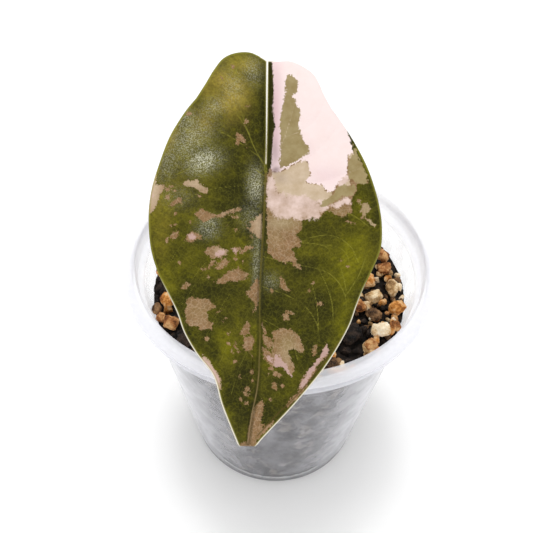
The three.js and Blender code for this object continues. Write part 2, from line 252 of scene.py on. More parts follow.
def mixed(tree, share, first, second, blend="MIX"):
    """Mixes two colours."""
    inputs = {0: share, 6: first, 7: second}
    return node(tree, "Mix", inputs, data_type="RGBA", blend_type=blend).outputs[2]


def layered(tree, colour, layers):
    """Lays (share, tone) pairs over a colour, one after the other."""
    for share, tone in layers:
        colour = mixed(tree, share, colour, tone)
    return colour


def ramp(tree, value, stops):
    """A colour ramp through (place, colour) stops."""
    made = node(tree, "ValToRGB", {"Fac": value})
    elements = made.color_ramp.elements
    while len(elements) < len(stops):
        elements.new(0.5)
    for element, (place, colour) in zip(elements, stops):
        element.position = place
        element.color = colour
    return made.outputs["Color"]


def overlaid(tree, share, colour, pattern, *stops):
    """Darkens and lightens a colour by a pattern, through (place, grey) stops."""
    tones = ramp(tree, pattern, [(place, grey(value)) for place, value in stops])
    return mixed(tree, share, colour, tones, "OVERLAY")


def bumped(tree, height, depth, strength=1.0):
    """A bump of the given depth in millimetres."""
    inputs = {"Height": height, "Distance": depth * MM, "Strength": strength}
    return node(tree, "Bump", inputs).outputs[0]


print("colour helpers ready")

# %% [markdown]
# ## Tools for meshes
# A piece is made as arrays of points and faces, because a leaf or a lump of soil is easiest to
# describe by a formula for each point. `new_piece` turns the arrays into a Blender object that
# rides on the plant, and stores any numbers that its finish reads, such as how deep inside a pink
# patch each point lies.

# %% Helpers for meshes


def face_outwards(mesh):
    """Turns every face of a closed mesh to look outwards."""
    shell = bmesh.new()
    shell.from_mesh(mesh)
    bmesh.ops.recalc_face_normals(shell, faces=shell.faces)
    shell.to_mesh(mesh)
    shell.free()


def new_piece(name, points, faces, material, marks=None, smooth=True):
    """Makes a mesh object from points in millimetres, and ties it to the plant."""
    mesh = bpy.data.meshes.new(name)
    mesh.from_pydata((np.asarray(points) * MM).tolist(), [], [list(map(int, f)) for f in faces])
    mesh.polygons.foreach_set("use_smooth", [smooth] * len(mesh.polygons))
    for key, values in (marks or {}).items():
        layer = mesh.attributes.new(key, "FLOAT", "POINT")
        layer.data.foreach_set("value", np.asarray(values, np.float32))
    mesh.materials.append(material)
    face_outwards(mesh)
    piece = bpy.data.objects.new(name, mesh)
    bpy.context.scene.collection.objects.link(piece)
    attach(piece, "root")
    return piece


print("mesh helpers ready")

# %% [markdown]
# Curves and outlines are lists of a few knots. `smooth_curve` runs a smooth line through them. Two
# more functions measure: how far a point lies from a line, and how deep it lies inside an outline.
# `grid_faces` joins a grid of points by four-sided faces.

# %% Helpers for curves


def smooth_curve(knots, fractions):
    """Points of a smooth curve through the knots, at fractions of the way along the list."""
    knots = np.array(knots, float)
    padded = np.vstack([2 * knots[0] - knots[1], knots, 2 * knots[-1] - knots[-2]])
    gaps = np.linalg.norm(np.diff(padded, axis=0), axis=1) ** 0.5
    place = np.asarray(fractions, float) * (len(knots) - 1)
    span = np.clip(place.astype(int), 0, len(knots) - 2)
    t = (place - span)[:, None]
    p0, p1, p2, p3 = (padded[span + i] for i in range(4))
    d0, d1, d2 = (gaps[span + i][:, None] for i in range(3))
    start = ((p1 - p0) / d0 - (p2 - p0) / (d0 + d1) + (p2 - p1) / d1) * d1
    end = ((p2 - p1) / d1 - (p3 - p1) / (d1 + d2) + (p3 - p2) / d2) * d1
    bend = 3 * (p2 - p1) - 2 * start - end
    return p1 + start * t + bend * t**2 + (2 * (p1 - p2) + start + end) * t**3


def even_fractions(knots, start, end, count):
    """Fractions of a curve that are evenly spaced along its length."""
    fine = np.linspace(start, end, 40 * count)
    steps = np.linalg.norm(np.diff(smooth_curve(knots, fine), axis=0), axis=1)
    length = np.concatenate([[0], np.cumsum(steps)])
    return np.interp(np.linspace(0, length[-1], count), length, fine)


def line_distance(points, line):
    """How far each point lies from a line of straight stretches."""
    line = np.array(line, float)
    nearest = np.full(len(points), np.inf)
    for a, b in zip(line[:-1], line[1:]):
        along = np.clip(((points - a) @ (b - a)) / max((b - a) @ (b - a), 1e-12), 0, 1)
        nearest = np.minimum(nearest, np.linalg.norm(points - a - along[:, None] * (b - a), axis=1))
    return nearest


def outline_depth(points, outline):
    """How deep each point lies inside a closed outline, negative outside."""
    corners = np.array(outline, float)
    x, y = points[:, 0], points[:, 1]
    inside = np.zeros(len(points), bool)
    for (ax, ay), (bx, by) in zip(corners, np.roll(corners, -1, axis=0)):
        if ay != by:
            inside ^= ((ay > y) != (by > y)) & (x < (bx - ax) * (y - ay) / (by - ay) + ax)
    depth = line_distance(points, [*corners, corners[0]])
    return np.where(inside, depth, -depth)


def grid_faces(grid, flip=False):
    """Four-sided faces over a grid of point numbers."""
    quads = np.stack([grid[:-1, :-1], grid[1:, :-1], grid[1:, 1:], grid[:-1, 1:]], axis=-1).reshape(-1, 4)
    return quads[:, ::-1] if flip else quads


print("curve helpers ready")

# %% [markdown]
# ## The table
# A real studio table has no edge in view, so the floor is one wide sheet. Unlike the other pieces
# it isn't tied to the plant, which keeps it out of the plant's own model. A faint unevenness in its
# white stops it from looking like empty space.

# %% Lay the table
TABLE_MOTTLE = 60


def table_finish():
    material, tree, place = new_finish("table_white")
    low, high = ((TABLE_GREY + more,) * 3 + (1,) for more in (0, 0.01))
    colour = ramp(tree, grain(tree, place, TABLE_MOTTLE, detail=2), [(0.3, low), (0.7, high)])
    finished(tree, shaded(tree, colour, 0.55))
    return material


def lay_table():
    half = TABLE_SIZE / 2
    corners = [(-half, -half, 0), (half, -half, 0), (half, half, 0), (-half, half, 0)]
    mesh = bpy.data.meshes.new("table")
    mesh.from_pydata(corners, [], [(0, 1, 2, 3)])
    mesh.materials.append(table_finish())
    table = bpy.data.objects.new("table", mesh)
    bpy.context.scene.collection.objects.link(table)
    return table


print("table laid:", lay_table().name)

# %% [markdown]
# ## The leaf's form
# The real blade is one grown sheet: two lobes at the top with a narrow slit between them, a keeled
# midrib, and a point that turns under. It could be drawn on a flat sheet with a picture on it, but
# the model should hold its shape without one. So the blade is a flat outline, lifted by a
# formula: each half swells, the slit sinks, the whole arches and the lobes droop. Past a line near
# the tip the sheet is rolled under. These are the same curves as the measured solid's.

# %% Describe the blade
JOINT = np.array([-4.2, -30.4, 136.9])
BLADE_TILT = math.radians(50)
FOLD_Y = -53.6
FOLD_RADIUS = 0.9
FOLD_ANGLE = math.radians(120)
MIDRIB_DRIFT = 0.055
SWELL_HEIGHT = 2.2
SWELL_REACH = 22
SLIT_SINK = 0.9
SLIT_SINK_WIDTH = 1.6
ARCH_HEIGHT = 1.2
ARCH_MIDDLE = -15
ARCH_REACH = 38
LOBE_DROOP = 2.2
LOBE_START = 10
LOBE_REACH = 13


def blade_lift(x, y):
    """How far the blade swells out of its own flat plane."""
    midrib_x = np.where(y > 0, 0, MIDRIB_DRIFT * y)
    reach = np.abs(x - midrib_x)
    cross = SWELL_HEIGHT * np.sin(0.75 * math.pi * np.minimum(reach / SWELL_REACH, 1))
    slit = -SLIT_SINK * np.exp(-reach / SLIT_SINK_WIDTH) * np.clip(y / 4, 0, 1)
    arch = ARCH_HEIGHT * (1 - ((y - ARCH_MIDDLE) / ARCH_REACH) ** 2)
    lobes = -LOBE_DROOP * np.maximum((y - LOBE_START) / LOBE_REACH, 0) ** 2
    return cross + slit + arch + lobes


def on_blade(flat, fold=True):
    """Points of the flat outline, lifted, folded at the tip and turned into the plant's place."""
    x, y = flat[..., 0], flat[..., 1]
    kept = np.maximum(y, FOLD_Y)
    past = kept - y
    angle = np.minimum(past / FOLD_RADIUS, FOLD_ANGLE) if fold else 0 * past
    straight = past - angle * FOLD_RADIUS
    ahead = FOLD_RADIUS * np.sin(angle) + straight * np.cos(angle)
    back = FOLD_RADIUS * (1 - np.cos(angle)) + straight * np.sin(angle)
    along, out = kept - ahead, blade_lift(x, kept) - back
    up = along * math.sin(BLADE_TILT) + out * math.cos(BLADE_TILT)
    forward = along * math.cos(BLADE_TILT) - out * math.sin(BLADE_TILT)
    return JOINT + np.stack([x, forward, up], axis=-1)


def blade_normals(flat):
    """The direction that faces out of the upper side."""
    step = 0.05
    here = on_blade(flat)
    right = on_blade(flat + (step, 0)) - here
    up = on_blade(flat + (0, step)) - here
    normal = np.cross(right, up)
    return normal / np.linalg.norm(normal, axis=-1, keepdims=True)


print("blade tilted by", round(math.degrees(BLADE_TILT)), "degrees, joint at", JOINT.tolist())

# %% [markdown]
# The outline is drawn in the blade's own flat plane, with nought at the joint and the tip below it.
# Each margin is a smooth curve through a few knots, read off the picture. The rows are closest at
# the slit, where the two halves part, and each row runs from the midrib out to the margin.

# %% Stretch the two halves
MIDRIB = [(0, 20.8), (0, 0), (-0.75, -19), (-1.05, -37.5), (-2.9, -53.8), (-3.2, -58.2)]
LEFT_MARGIN = [
    (-12.8, 13.2), (-14.6, 11), (-16.1, 8.8), (-17.8, 5.9), (-19.8, 0.8), (-21.1, -3.4), (-21.7, -7.4),
    (-21.7, -11.5), (-21.2, -15.4), (-19.9, -19.5), (-18.1, -23.2), (-16.4, -26.8), (-15.1, -30.6),
    (-12.9, -34.6), (-9.6, -39.3), (-7.9, -45.4), (-4.9, -53.6), (-4.4, -54.9), (-3.9, -56.2),
    (-3.6, -57.3), (-3.4, -58.2),
]
RIGHT_MARGIN = [
    (10.7, 13), (12.2, 11.1), (14, 8.7), (16.2, 5.5), (18.7, 1.1), (20.2, -2.6), (21.3, -6.2),
    (21.9, -10), (21.8, -14.2), (20.5, -17.8), (18.8, -21.6), (17.5, -25.2), (16.5, -28.4),
    (14.6, -32.4), (11.8, -37.2), (6.6, -44.3), (-1, -53.9), (-1.6, -55.1), (-2.2, -56.3),
    (-2.7, -57.3), (-3, -58.2),
]
LEFT_LOBE_TOP = [
    (0, 20.8), (-1.2, 21.4), (-3.2, 22.1), (-5.9, 21.8), (-8, 20.7), (-9.6, 18.6), (-11.2, 15.8),
    (-12.8, 13.2),
]
RIGHT_LOBE_TOP = [
    (0, 20.8), (1.6, 20.5), (4.2, 20.4), (6.4, 19.4), (8.4, 17.9), (9.6, 15.9), (10.7, 13),
]
JOINT_FRACTION = 0.2
SLIT_WIDTH = 0.4
SLIT_TAPER = 0.4
SLIT_ROWS = 68
BLADE_ROWS = 190
HALF_COLUMNS = 70

blade_rows = np.concatenate([
    np.linspace(0, JOINT_FRACTION, SLIT_ROWS)[:-1],
    even_fractions(MIDRIB, JOINT_FRACTION, 1, BLADE_ROWS),
])


def half_blade(side, margin, lobe_top):
    """The flat grid of one half: rows from the lobe to the point, columns from the midrib out."""
    across = np.linspace(0, 1, HALF_COLUMNS + 1)
    inner = smooth_curve(MIDRIB, blade_rows)
    opening = np.maximum(1 - blade_rows / JOINT_FRACTION, 0) ** SLIT_TAPER
    inner[:, 0] += side * SLIT_WIDTH / 2 * opening
    outer = smooth_curve(margin, blade_rows)
    top = smooth_curve(lobe_top, across)
    crown = top - (top[0] + across[:, None] * (top[-1] - top[0]))
    sheet = inner[:, None] + across[None, :, None] * (outer - inner)[:, None]
    return sheet + crown[None] * (1 - blade_rows)[:, None, None]


left_half = half_blade(-1, LEFT_MARGIN, LEFT_LOBE_TOP)
right_half = half_blade(1, RIGHT_MARGIN, RIGHT_LOBE_TOP)
blade_width = right_half[..., 0].max() - left_half[..., 0].min()
print("blade grid:", left_half.shape[:2], "width in mm:", round(float(blade_width), 1))

# %% [markdown]
# The two halves share one column of points along the midrib, below the joint. Above it they part,
# and the gap between them is the slit. Giving the shared points one number keeps the surface
# closed and lets the light run smoothly over the midrib.

# %% Join the halves
rows, columns = left_half.shape[:2]
left_numbers = np.arange(rows * columns).reshape(rows, columns)
right_numbers = left_numbers + rows * columns
right_numbers[SLIT_ROWS - 1:, 0] = left_numbers[SLIT_ROWS - 1:, 0]
used, renumbered = np.unique(np.stack([left_numbers, right_numbers]), return_inverse=True)
left_numbers, right_numbers = renumbered.reshape(2, rows, columns)
flat_blade = np.concatenate([left_half.reshape(-1, 2), right_half.reshape(-1, 2)])[used]
upper_faces = np.concatenate([grid_faces(left_numbers, flip=True), grid_faces(right_numbers)])
edges = np.concatenate([upper_faces[:, [i, (i + 1) % 4]] for i in range(4)])
both_ways = set(map(tuple, edges))
rim_edges = np.array([edge for edge in map(tuple, edges) if edge[::-1] not in both_ways])
blade_pixels = to_pixels(on_blade(flat_blade, fold=False))
print("blade points:", len(flat_blade), "rim edges:", len(rim_edges))

# %% [markdown]
# ## Veins
# An alocasia's veins leave the midrib in pairs, sweep outwards and turn along the margin. On the
# upper side they lie in shallow valleys, with the blade puffed up between them. Their lines are
# read off the picture where they show and completed by the same habit where they don't. Each is a
# list of pixels in the picture, and a leaf point's distance to the nearest of them does the rest:
# it sinks the mesh there, and later it lightens the colour.

# %% Draw the veins
MM_PER_PIXEL = 0.192
MIDRIB_LINE = [
    (266, 172), (265, 200), (263, 235), (261, 270), (260, 310), (260, 345), (258, 385), (252, 415),
    (248, 442),
]
LATERAL_VEINS = [
    [(264, 176), (283, 171), (305, 160), (324, 144), (336, 128)],
    [(264, 182), (288, 184), (318, 182), (344, 174), (362, 168)],
    [(264, 196), (292, 205), (322, 210), (350, 214), (368, 226)],
    [(263, 232), (284, 238), (300, 242), (322, 245), (332, 253), (338, 262), (343, 276), (346, 290)],
    [(262, 256), (282, 261), (300, 265), (322, 270), (335, 278), (345, 296), (346, 312)],
    [(261, 286), (282, 293), (303, 304), (316, 322), (320, 342)],
    [(260, 318), (278, 327), (292, 342), (298, 360)],
    [(259, 352), (272, 362), (280, 378)],
    [(264, 176), (246, 164), (222, 160), (196, 166), (174, 176)],
    [(264, 184), (238, 186), (208, 190), (182, 202), (164, 216)],
    [(264, 204), (240, 214), (208, 226), (184, 242), (170, 262)],
    [(262, 236), (240, 248), (214, 266), (194, 286), (184, 306)],
    [(261, 262), (249, 272), (233, 289), (218, 312), (206, 336)],
    [(260, 296), (246, 312), (230, 338), (220, 362)],
    [(260, 330), (248, 348), (238, 370), (231, 394)],
    [(267, 170), (256, 152), (244, 122), (236, 90), (236, 66)],
    [(262, 160), (244, 146), (220, 132), (198, 130)],
    [(250, 136), (236, 114), (218, 98), (206, 96)],
    [(300, 242), (316, 236), (334, 236), (350, 246), (358, 262)],
    [(322, 245), (336, 246), (346, 254), (350, 268)],
    [(312, 284), (316, 300), (318, 318), (319, 340)],
    [(318, 268), (326, 284), (332, 304), (333, 322)],
    [(345, 296), (352, 286), (360, 272), (366, 254)],
    [(206, 262), (196, 274), (186, 292), (182, 304)],
    [(232, 352), (240, 340), (250, 330), (258, 322)],
    [(272, 166), (284, 140), (294, 106), (298, 74)],
    [(285, 138), (301, 131), (318, 116), (324, 100)],
]
CREASE = [
    (352, 322), (338, 343), (325, 360), (312, 377), (303, 388), (292, 400), (280, 411), (268, 424),
    (257, 436),
]


def fine_line(knots, steps=60):
    return smooth_curve(knots, np.linspace(0, 1, steps))


def nearest_of(lines, steps):
    """Each leaf point's distance, in millimetres, to the nearest of some curves in the picture."""
    distances = [line_distance(blade_pixels, fine_line(line, steps)) for line in lines]
    return np.min(distances, axis=0) * MM_PER_PIXEL


midrib_distance = nearest_of([MIDRIB_LINE], 60)
crease_distance = nearest_of([CREASE], 60)
vein_distance = nearest_of(LATERAL_VEINS, 24)
edge_distance = np.full(len(flat_blade), np.inf)
for start, end in flat_blade[rim_edges]:
    edge_distance = np.minimum(edge_distance, line_distance(flat_blade, (start, end)))
print("veins drawn:", len(LATERAL_VEINS), "widest inset in mm:", round(float(edge_distance.max()), 1))

# %% [markdown]
# ## The blade as a solid
# The flat grid becomes an upper and a lower skin. Valleys, puffs and fine puckers are real
# displacement here, since they catch the light from every side. Underneath, the midrib and the
# side veins stand proud as ridges, thickest by the joint. Two arrays hold the result: how far the
# upper skin rises over the grid at each point, and how far the lower one drops.

# %% Work out the relief
BLADE_MIDDLE = 0.8
BLADE_EDGE = 0.34
EDGE_THINNING = 3.0
MIDRIB_VALLEY = 0.30
MIDRIB_WIDTH = 0.75
VEIN_VALLEY = 0.11
VEIN_WIDTH = 0.42
PUFF = 0.16
PUFF_WIDTH = 2.4
PUCKER = 0.035
RIDGE_HEIGHT = 1.25
RIDGE_WIDTH = 1.0
VEIN_RIDGE = 0.22


def bell(distance, width):
    return np.exp(-((distance / width) ** 2))


def near_edge(reach):
    """Nought at the blade's edge, one from the given distance inwards."""
    return np.clip(edge_distance / reach, 0, 1)


def wrinkles(size, seed):
    """Smooth noise over the blade, between -1 and 1."""
    return np.array([noise.noise(Vector((x / size, y / size, seed))) for x, y in flat_blade])


from_tip = (flat_blade[:, 1] - FOLD_Y) / -FOLD_Y
thickness = BLADE_EDGE + (BLADE_MIDDLE - BLADE_EDGE) * near_edge(EDGE_THINNING) ** 0.7
ridge_share = np.clip(from_tip, 0.12, 1) * np.clip(1 - flat_blade[:, 1] / 3, 0, 1)
valley = MIDRIB_VALLEY * bell(midrib_distance, MIDRIB_WIDTH) * ridge_share**0.5
vein_bell = bell(vein_distance, VEIN_WIDTH) * near_edge(2)
puff = (1 - bell(np.minimum(vein_distance, midrib_distance), PUFF_WIDTH)) * near_edge(4)
pucker = wrinkles(1.5, 3.1) + 0.6 * wrinkles(0.7, 8.4)
relief = (PUFF * puff + PUCKER * pucker) * near_edge(1)
ridge = RIDGE_HEIGHT * bell(midrib_distance, RIDGE_WIDTH) * ridge_share
upper_rise = thickness / 2 - valley - VEIN_VALLEY * vein_bell + relief
lower_drop = thickness / 2 + ridge + VEIN_RIDGE * vein_bell - 0.5 * relief
print("thickness in mm:", round(float(thickness.min()), 2), "to", BLADE_MIDDLE)

# %% [markdown]
# The two skins stand off the flat grid along its normals. What is left open is the gap between
# them at the edge. A ring of points halfway between the skins, pushed out a little, closes it with
# a rounded rim, so that the edge catches a line of light as a real leaf's does.

# %% Close the blade
RIM_ROUND = 0.12


def build_blade_shell():
    """Points and faces of the closed blade, and the number of the grid point behind each."""
    middle, normals = on_blade(flat_blade), blade_normals(flat_blade)
    upper = middle + normals * upper_rise[:, None]
    lower = middle - normals * lower_drop[:, None]
    outward = np.zeros_like(middle)
    for a, b in rim_edges:
        push = np.cross(middle[b] - middle[a], normals[a])
        outward[a] += push
        outward[b] += push
    rim_points = np.unique(rim_edges)
    outward = outward[rim_points]
    outward /= np.linalg.norm(outward, axis=1, keepdims=True)
    rim = (upper[rim_points] + lower[rim_points]) / 2 + RIM_ROUND * outward
    count = len(middle)
    place = {int(p): 2 * count + i for i, p in enumerate(rim_points)}
    closing = [(b, a, place[a], place[b]) for a, b in rim_edges.tolist()]
    closing += [(place[b], place[a], a + count, b + count) for a, b in rim_edges.tolist()]
    faces = [*upper_faces.tolist(), *(upper_faces[:, ::-1] + count).tolist(), *closing]
    source = np.concatenate([np.arange(count), np.arange(count), rim_points])
    return np.concatenate([upper, lower, rim]), faces, source


blade_points, blade_faces, blade_source = build_blade_shell()
print("blade points:", len(blade_points), "faces:", len(blade_faces))

# %% [markdown]
# ## The markings
# Variegation is grown, not printed: each patch is a sector of cells without some of its green. A
# picture wrapped on the leaf would be quick, but it would blur close up. Instead each patch is an
# outline of a few pixels read off the picture. Every leaf point gets one number for each kind of
# patch: how deep it lies inside one, in millimetres. The finish later cuts those numbers at zero
# with a little noise, which gives crisp, ragged edges at any distance.

# %% Outline the pale half
PALE_AREAS = [
    [(272, 56), (290, 56), (312, 64), (328, 84), (345, 112), (354, 126), (346, 130), (349, 138),
     (352.5, 148), (352.9, 151.6), (347.5, 156), (347.3, 163), (347, 176), (342, 179), (339, 181),
     (336, 187), (333.5, 191.5), (329, 192), (325.7, 190.5), (323.5, 186), (321, 184.3), (315, 183.8),
     (309, 184.3), (306, 181.5), (310.6, 175.5), (310, 169), (308.5, 164), (305, 160), (300, 161.5),
     (290, 166.5), (282, 171), (277, 172), (272, 171), (270.5, 167), (272, 158), (273, 145), (274, 132),
     (275, 127), (274, 118), (273, 105), (274, 92), (273.5, 78), (272.5, 68)],
]
ROSE_AREAS = [
    [(267, 176), (272, 176), (276, 183), (279, 190), (284, 194), (293, 196), (306, 197), (315, 200),
     (322, 203), (327, 208), (322, 213), (320, 218), (312, 218.5), (305, 220), (302, 222), (297, 218.5),
     (292, 218), (289, 218), (284, 219), (280, 219.5), (276, 217), (272, 213), (269, 211.5), (267, 206)],
    [(330, 206), (334, 203.5), (338, 202), (342, 201), (346, 199.5), (350, 200), (350, 203), (345, 204),
     (340, 206), (335, 208), (329, 209)],
    [(339, 177), (342, 173), (346, 174), (349, 179), (345, 184), (340, 187), (337, 184)],
]
BEIGE_AREAS = [
    [(272, 172), (283, 171), (295, 164), (305, 158.5), (310, 165), (311, 176), (306, 182), (322, 185),
     (326, 191), (334, 192), (330, 199), (324, 205), (314, 201), (305, 200), (293, 200), (284, 197),
     (278, 192), (274, 184)],
    [(299, 117), (302, 116), (305, 122), (306, 132), (305.5, 139), (302.5, 138), (300, 132),
     (298.5, 124)],
    [(348, 151), (350, 149), (354, 153), (356, 158), (350, 160), (347, 163)],
    [(340, 181), (345, 178), (349, 181), (350, 186), (344, 187), (338, 186)],
]
OLIVE_AREAS = [
    [(287, 75), (289, 74), (293, 77), (298, 80), (298.5, 85), (298, 92), (294, 95), (293, 98),
     (296, 99), (297, 106), (300.5, 110), (300, 116), (299, 122), (299, 129), (301, 133), (303, 139),
     (306, 144), (309, 147), (309.5, 152), (306, 156), (300, 159), (293, 163), (288, 166), (284, 168.5),
     (281, 167), (279.5, 163), (281, 155), (281, 137), (281, 120), (283, 107), (285, 98), (286, 88),
     (286.5, 80)],
    [(352.5, 144), (355.5, 150), (358, 156.5), (361, 163), (364.5, 171), (367.5, 180), (365, 184),
     (355, 183), (349, 178), (348, 170), (348, 162), (350, 157.5), (354, 154.5)],
    [(320, 206), (324, 200), (330, 197), (334, 193), (337, 188), (343, 188), (350, 186), (354, 184),
     (355, 190), (352, 195), (347, 196), (342, 196), (338, 200), (331, 204), (325, 207)],
    [(338, 187), (345, 184), (348, 190), (340, 193)],
]
# The strip of green margin beside the slit: its near-black is partly painted shade where the lobe curls
# down.
DEEP_GREEN_AND_SHADE_AREAS = [
    [(268.6, 60), (271.5, 62), (272.3, 66), (273, 75), (274, 90), (274, 100), (272.5, 105), (274, 118),
     (275.5, 127), (273.5, 133), (272.5, 145), (272, 157), (271, 165), (268, 173), (266, 172),
     (267, 155), (268, 130), (268.5, 90)],
]
TAN_AREAS = [
    [(266, 170), (300, 158), (352, 150), (356, 158), (366, 175), (368, 183), (356, 184), (356, 190),
     (354, 195), (351, 200), (351, 207), (352, 213), (348, 213), (344, 217), (338, 216), (333, 213),
     (328, 210), (325, 211), (322, 216), (319, 219), (312, 217.5), (306, 219), (302, 221), (302, 229),
     (299, 232), (295, 235), (299, 238), (301, 241), (300, 246), (297, 247), (291, 249), (294, 253),
     (296, 258), (297, 263), (300, 267), (297, 268), (294, 266), (290, 261), (287, 263), (281, 261),
     (275, 259), (270, 254), (268, 250), (267, 220)],
]
pale_half = (PALE_AREAS, ROSE_AREAS, BEIGE_AREAS, OLIVE_AREAS, DEEP_GREEN_AND_SHADE_AREAS, TAN_AREAS)
print("areas of the pale half:", sum(map(len, pale_half)))

# %% [markdown]
# Over the green there are islands of tan, some with a pink heart. They are smaller and more ragged
# towards the tip, and a few are thin streaks that follow a vein.

# %% Outline the islands
TAN_AREAS += [
    [(237, 133.5), (240, 133.5), (243, 137), (245, 142), (246.5, 147), (243, 143), (240, 141.5),
     (239, 146), (235.5, 144), (236, 137)],
    [(148, 160), (159, 164), (157, 172), (156, 184), (167, 185), (164, 190), (161, 194), (159, 198),
     (157, 206), (152, 213), (146, 212)],
    [(183, 183), (188, 180), (198, 180), (200, 184), (204, 186), (208, 189), (207, 193), (201, 193),
     (198, 189), (192, 187), (186, 186)],
    [(168, 207), (173, 202), (179, 198), (182, 199), (183, 203), (178, 204), (172, 206)],
    [(195, 214), (199, 210), (201, 207), (203, 211), (211, 213), (218, 214), (223, 213), (230, 211),
     (237, 208), (243, 207.5), (236, 210), (228, 214), (222, 217), (216, 215.5), (210, 219), (204, 222),
     (199, 219)],
    [(166, 241), (167, 238), (171, 235), (177, 231), (179, 231), (179, 236), (175, 239), (171, 238),
     (166, 243)],
    [(185, 240), (187, 236), (189, 233), (194, 231), (199, 234), (201, 236), (201, 239), (195, 240),
     (192, 243), (188, 241)],
    [(203, 252), (208, 247), (213, 246), (219, 246), (222, 248), (228, 250), (226, 255), (220, 258),
     (215, 258), (210, 256)],
    [(230, 249), (234, 247), (242, 247), (238, 250), (236, 254), (233, 252)],
    [(250, 224), (256, 219), (262, 212), (262, 238), (257, 238), (254, 233), (249, 231)],
    [(213, 268), (217, 265), (221, 261), (226, 258), (230, 261), (225, 265), (219, 269)],
    [(214, 281), (221, 277), (225, 273), (232, 270), (238, 267), (242, 270), (248, 274), (246, 279),
     (240, 280), (230, 281), (222, 284)],
    [(258, 276), (260, 283), (260, 300), (256, 309), (252, 313), (255, 303), (251, 299), (249, 298),
     (246, 293), (249, 288), (254, 281)],
    [(181, 288), (184, 284), (188, 281), (190, 284), (187, 288)],
    [(187, 298), (196, 297), (210, 299), (212, 303), (216, 307), (210, 309), (207, 311), (208, 317),
     (207, 320), (213, 322), (211, 329), (201, 329), (196, 325), (190, 326), (186, 321), (186, 312)],
    [(247, 320), (249.5, 325), (249, 331), (250, 334), (244, 334), (239, 335), (240, 331), (243, 326)],
    [(244, 337), (253, 336), (254, 340), (256, 342), (252, 345), (251, 349), (246, 350), (242, 347),
     (243, 342)],
    [(203, 353), (207, 358), (213, 366), (218.5, 374), (221, 382), (221.5, 389), (216, 392), (208, 380),
     (200, 362)],
    [(256, 404), (260, 401), (262, 398), (264, 399), (264, 410), (262, 418), (261, 423), (266, 424),
     (262, 430), (257, 437), (252, 441), (247, 443), (247, 435), (249, 425), (251, 415), (254, 408)],
    [(361, 202), (366, 203), (371, 208), (368, 212), (363, 215), (360, 212)],
    [(280.5, 276), (284, 280), (287, 286), (291, 291), (288, 292), (284, 290), (281, 286)],
    [(283, 314), (286, 312), (290, 315), (289, 319), (284, 319)],
    [(273, 332), (278, 329), (285, 328), (292, 329), (298, 334), (301, 341), (304, 349), (303, 352),
     (298, 351), (294, 348.5), (289, 350), (290, 355), (293, 362), (295, 370), (291, 375), (287, 371),
     (281, 366), (276, 367), (273, 364), (272, 353), (274, 345), (274, 338)],
    [(263, 335), (269, 336), (274, 342), (272, 348), (267, 347), (264, 342)],
    [(262, 346), (268, 350), (274, 354), (276, 366), (270, 365), (264, 358)],
    [(272, 383), (275, 381), (278, 384), (277, 389), (273, 388)],
    [(312, 346), (316, 345), (316, 355), (313, 356)],
    [(326, 342), (329, 350), (327, 355), (322, 360), (316, 365), (316, 371), (311, 377), (306, 384),
     (301, 389), (298, 388), (301, 381), (305, 374), (310, 368), (314, 362), (319, 356), (323, 350)],
    [(305, 384), (309, 380), (303, 392), (293, 402), (287, 407), (290, 399), (298, 392)],
    [(262, 427), (268, 424), (274, 420), (271, 427), (262, 434), (256, 441)],
    [(240, 442), (250, 440), (258, 437), (256, 447), (240, 447)],
]
PINK_AREAS = [
    [(276, 354), (281, 356), (282, 360), (287, 363), (288, 368), (292, 376), (287, 371), (281, 366),
     (276, 367), (273, 364), (275, 360)],
    [(219, 249), (226, 250), (224, 254), (218, 257), (215, 254)],
    [(231, 249), (236, 248), (236, 252), (233, 252)],
    [(327, 344), (329, 352), (322, 358), (316, 365), (313, 372), (308, 379), (303, 387), (299, 387),
     (305, 375), (312, 365), (319, 357)],
    [(202, 355), (207, 360), (213, 368), (218.5, 377), (219.5, 387), (212, 380), (203, 364)],
    [(188, 235), (192, 233.5), (197, 236), (196, 238.5), (191, 240)],
    [(150, 168), (155, 168), (154, 180), (153, 196), (150, 204), (147, 200)],
    [(266, 354), (272, 358), (274, 363), (269, 361)],
]
print("islands:", len(TAN_AREAS), "pink hearts:", len(PINK_AREAS))

# %% [markdown]
# Specks and hairline streaks are too small to outline. A speck is a place and a radius, and a
# streak is a line and a half width, all in the picture's pixels. In two places the green is
# peppered with tan, and those places are outlined.

# %% Place specks and streaks
TAN_SPECKS = [
    (246, 121.5, 1.6), (245, 124.5, 1.4), (233, 67, 1.5), (222, 79, 1.4), (247, 106, 1.4),
    (189, 114, 1.8), (168, 197, 2.0), (358, 201, 1.7), (373, 224, 1.9), (208, 277, 1.5),
    (204, 269, 1.8), (235, 259, 1.5), (212, 263, 1.6), (321, 303, 1.7), (318, 304, 1.2),
    (341, 260, 1.3), (347, 266, 1.3), (313, 283, 1.2), (309, 291, 1.2), (272, 290, 1.4),
    (206, 338, 2.0), (228, 333, 1.6), (235, 342, 1.5), (228, 343, 1.6), (234, 347, 1.7),
    (238, 350, 1.4), (235, 361, 1.4), (252, 371, 2.2), (247, 388, 2.4), (244, 391, 1.6),
    (253, 380, 1.4), (272, 368, 2.2), (276, 373, 2.4), (280, 375, 2.0), (269, 374, 1.4),
    (199, 196, 1.3), (176, 214, 1.4), (190, 222, 1.3), (243, 262, 1.4), (227, 226, 1.2),
    (236, 230, 1.3), (180, 262, 1.2), (240, 398, 1.6), (246, 402, 1.3), (270, 398, 1.3),
    (283, 385, 1.4), (239, 376, 1.2), (232, 352, 1.2),
]
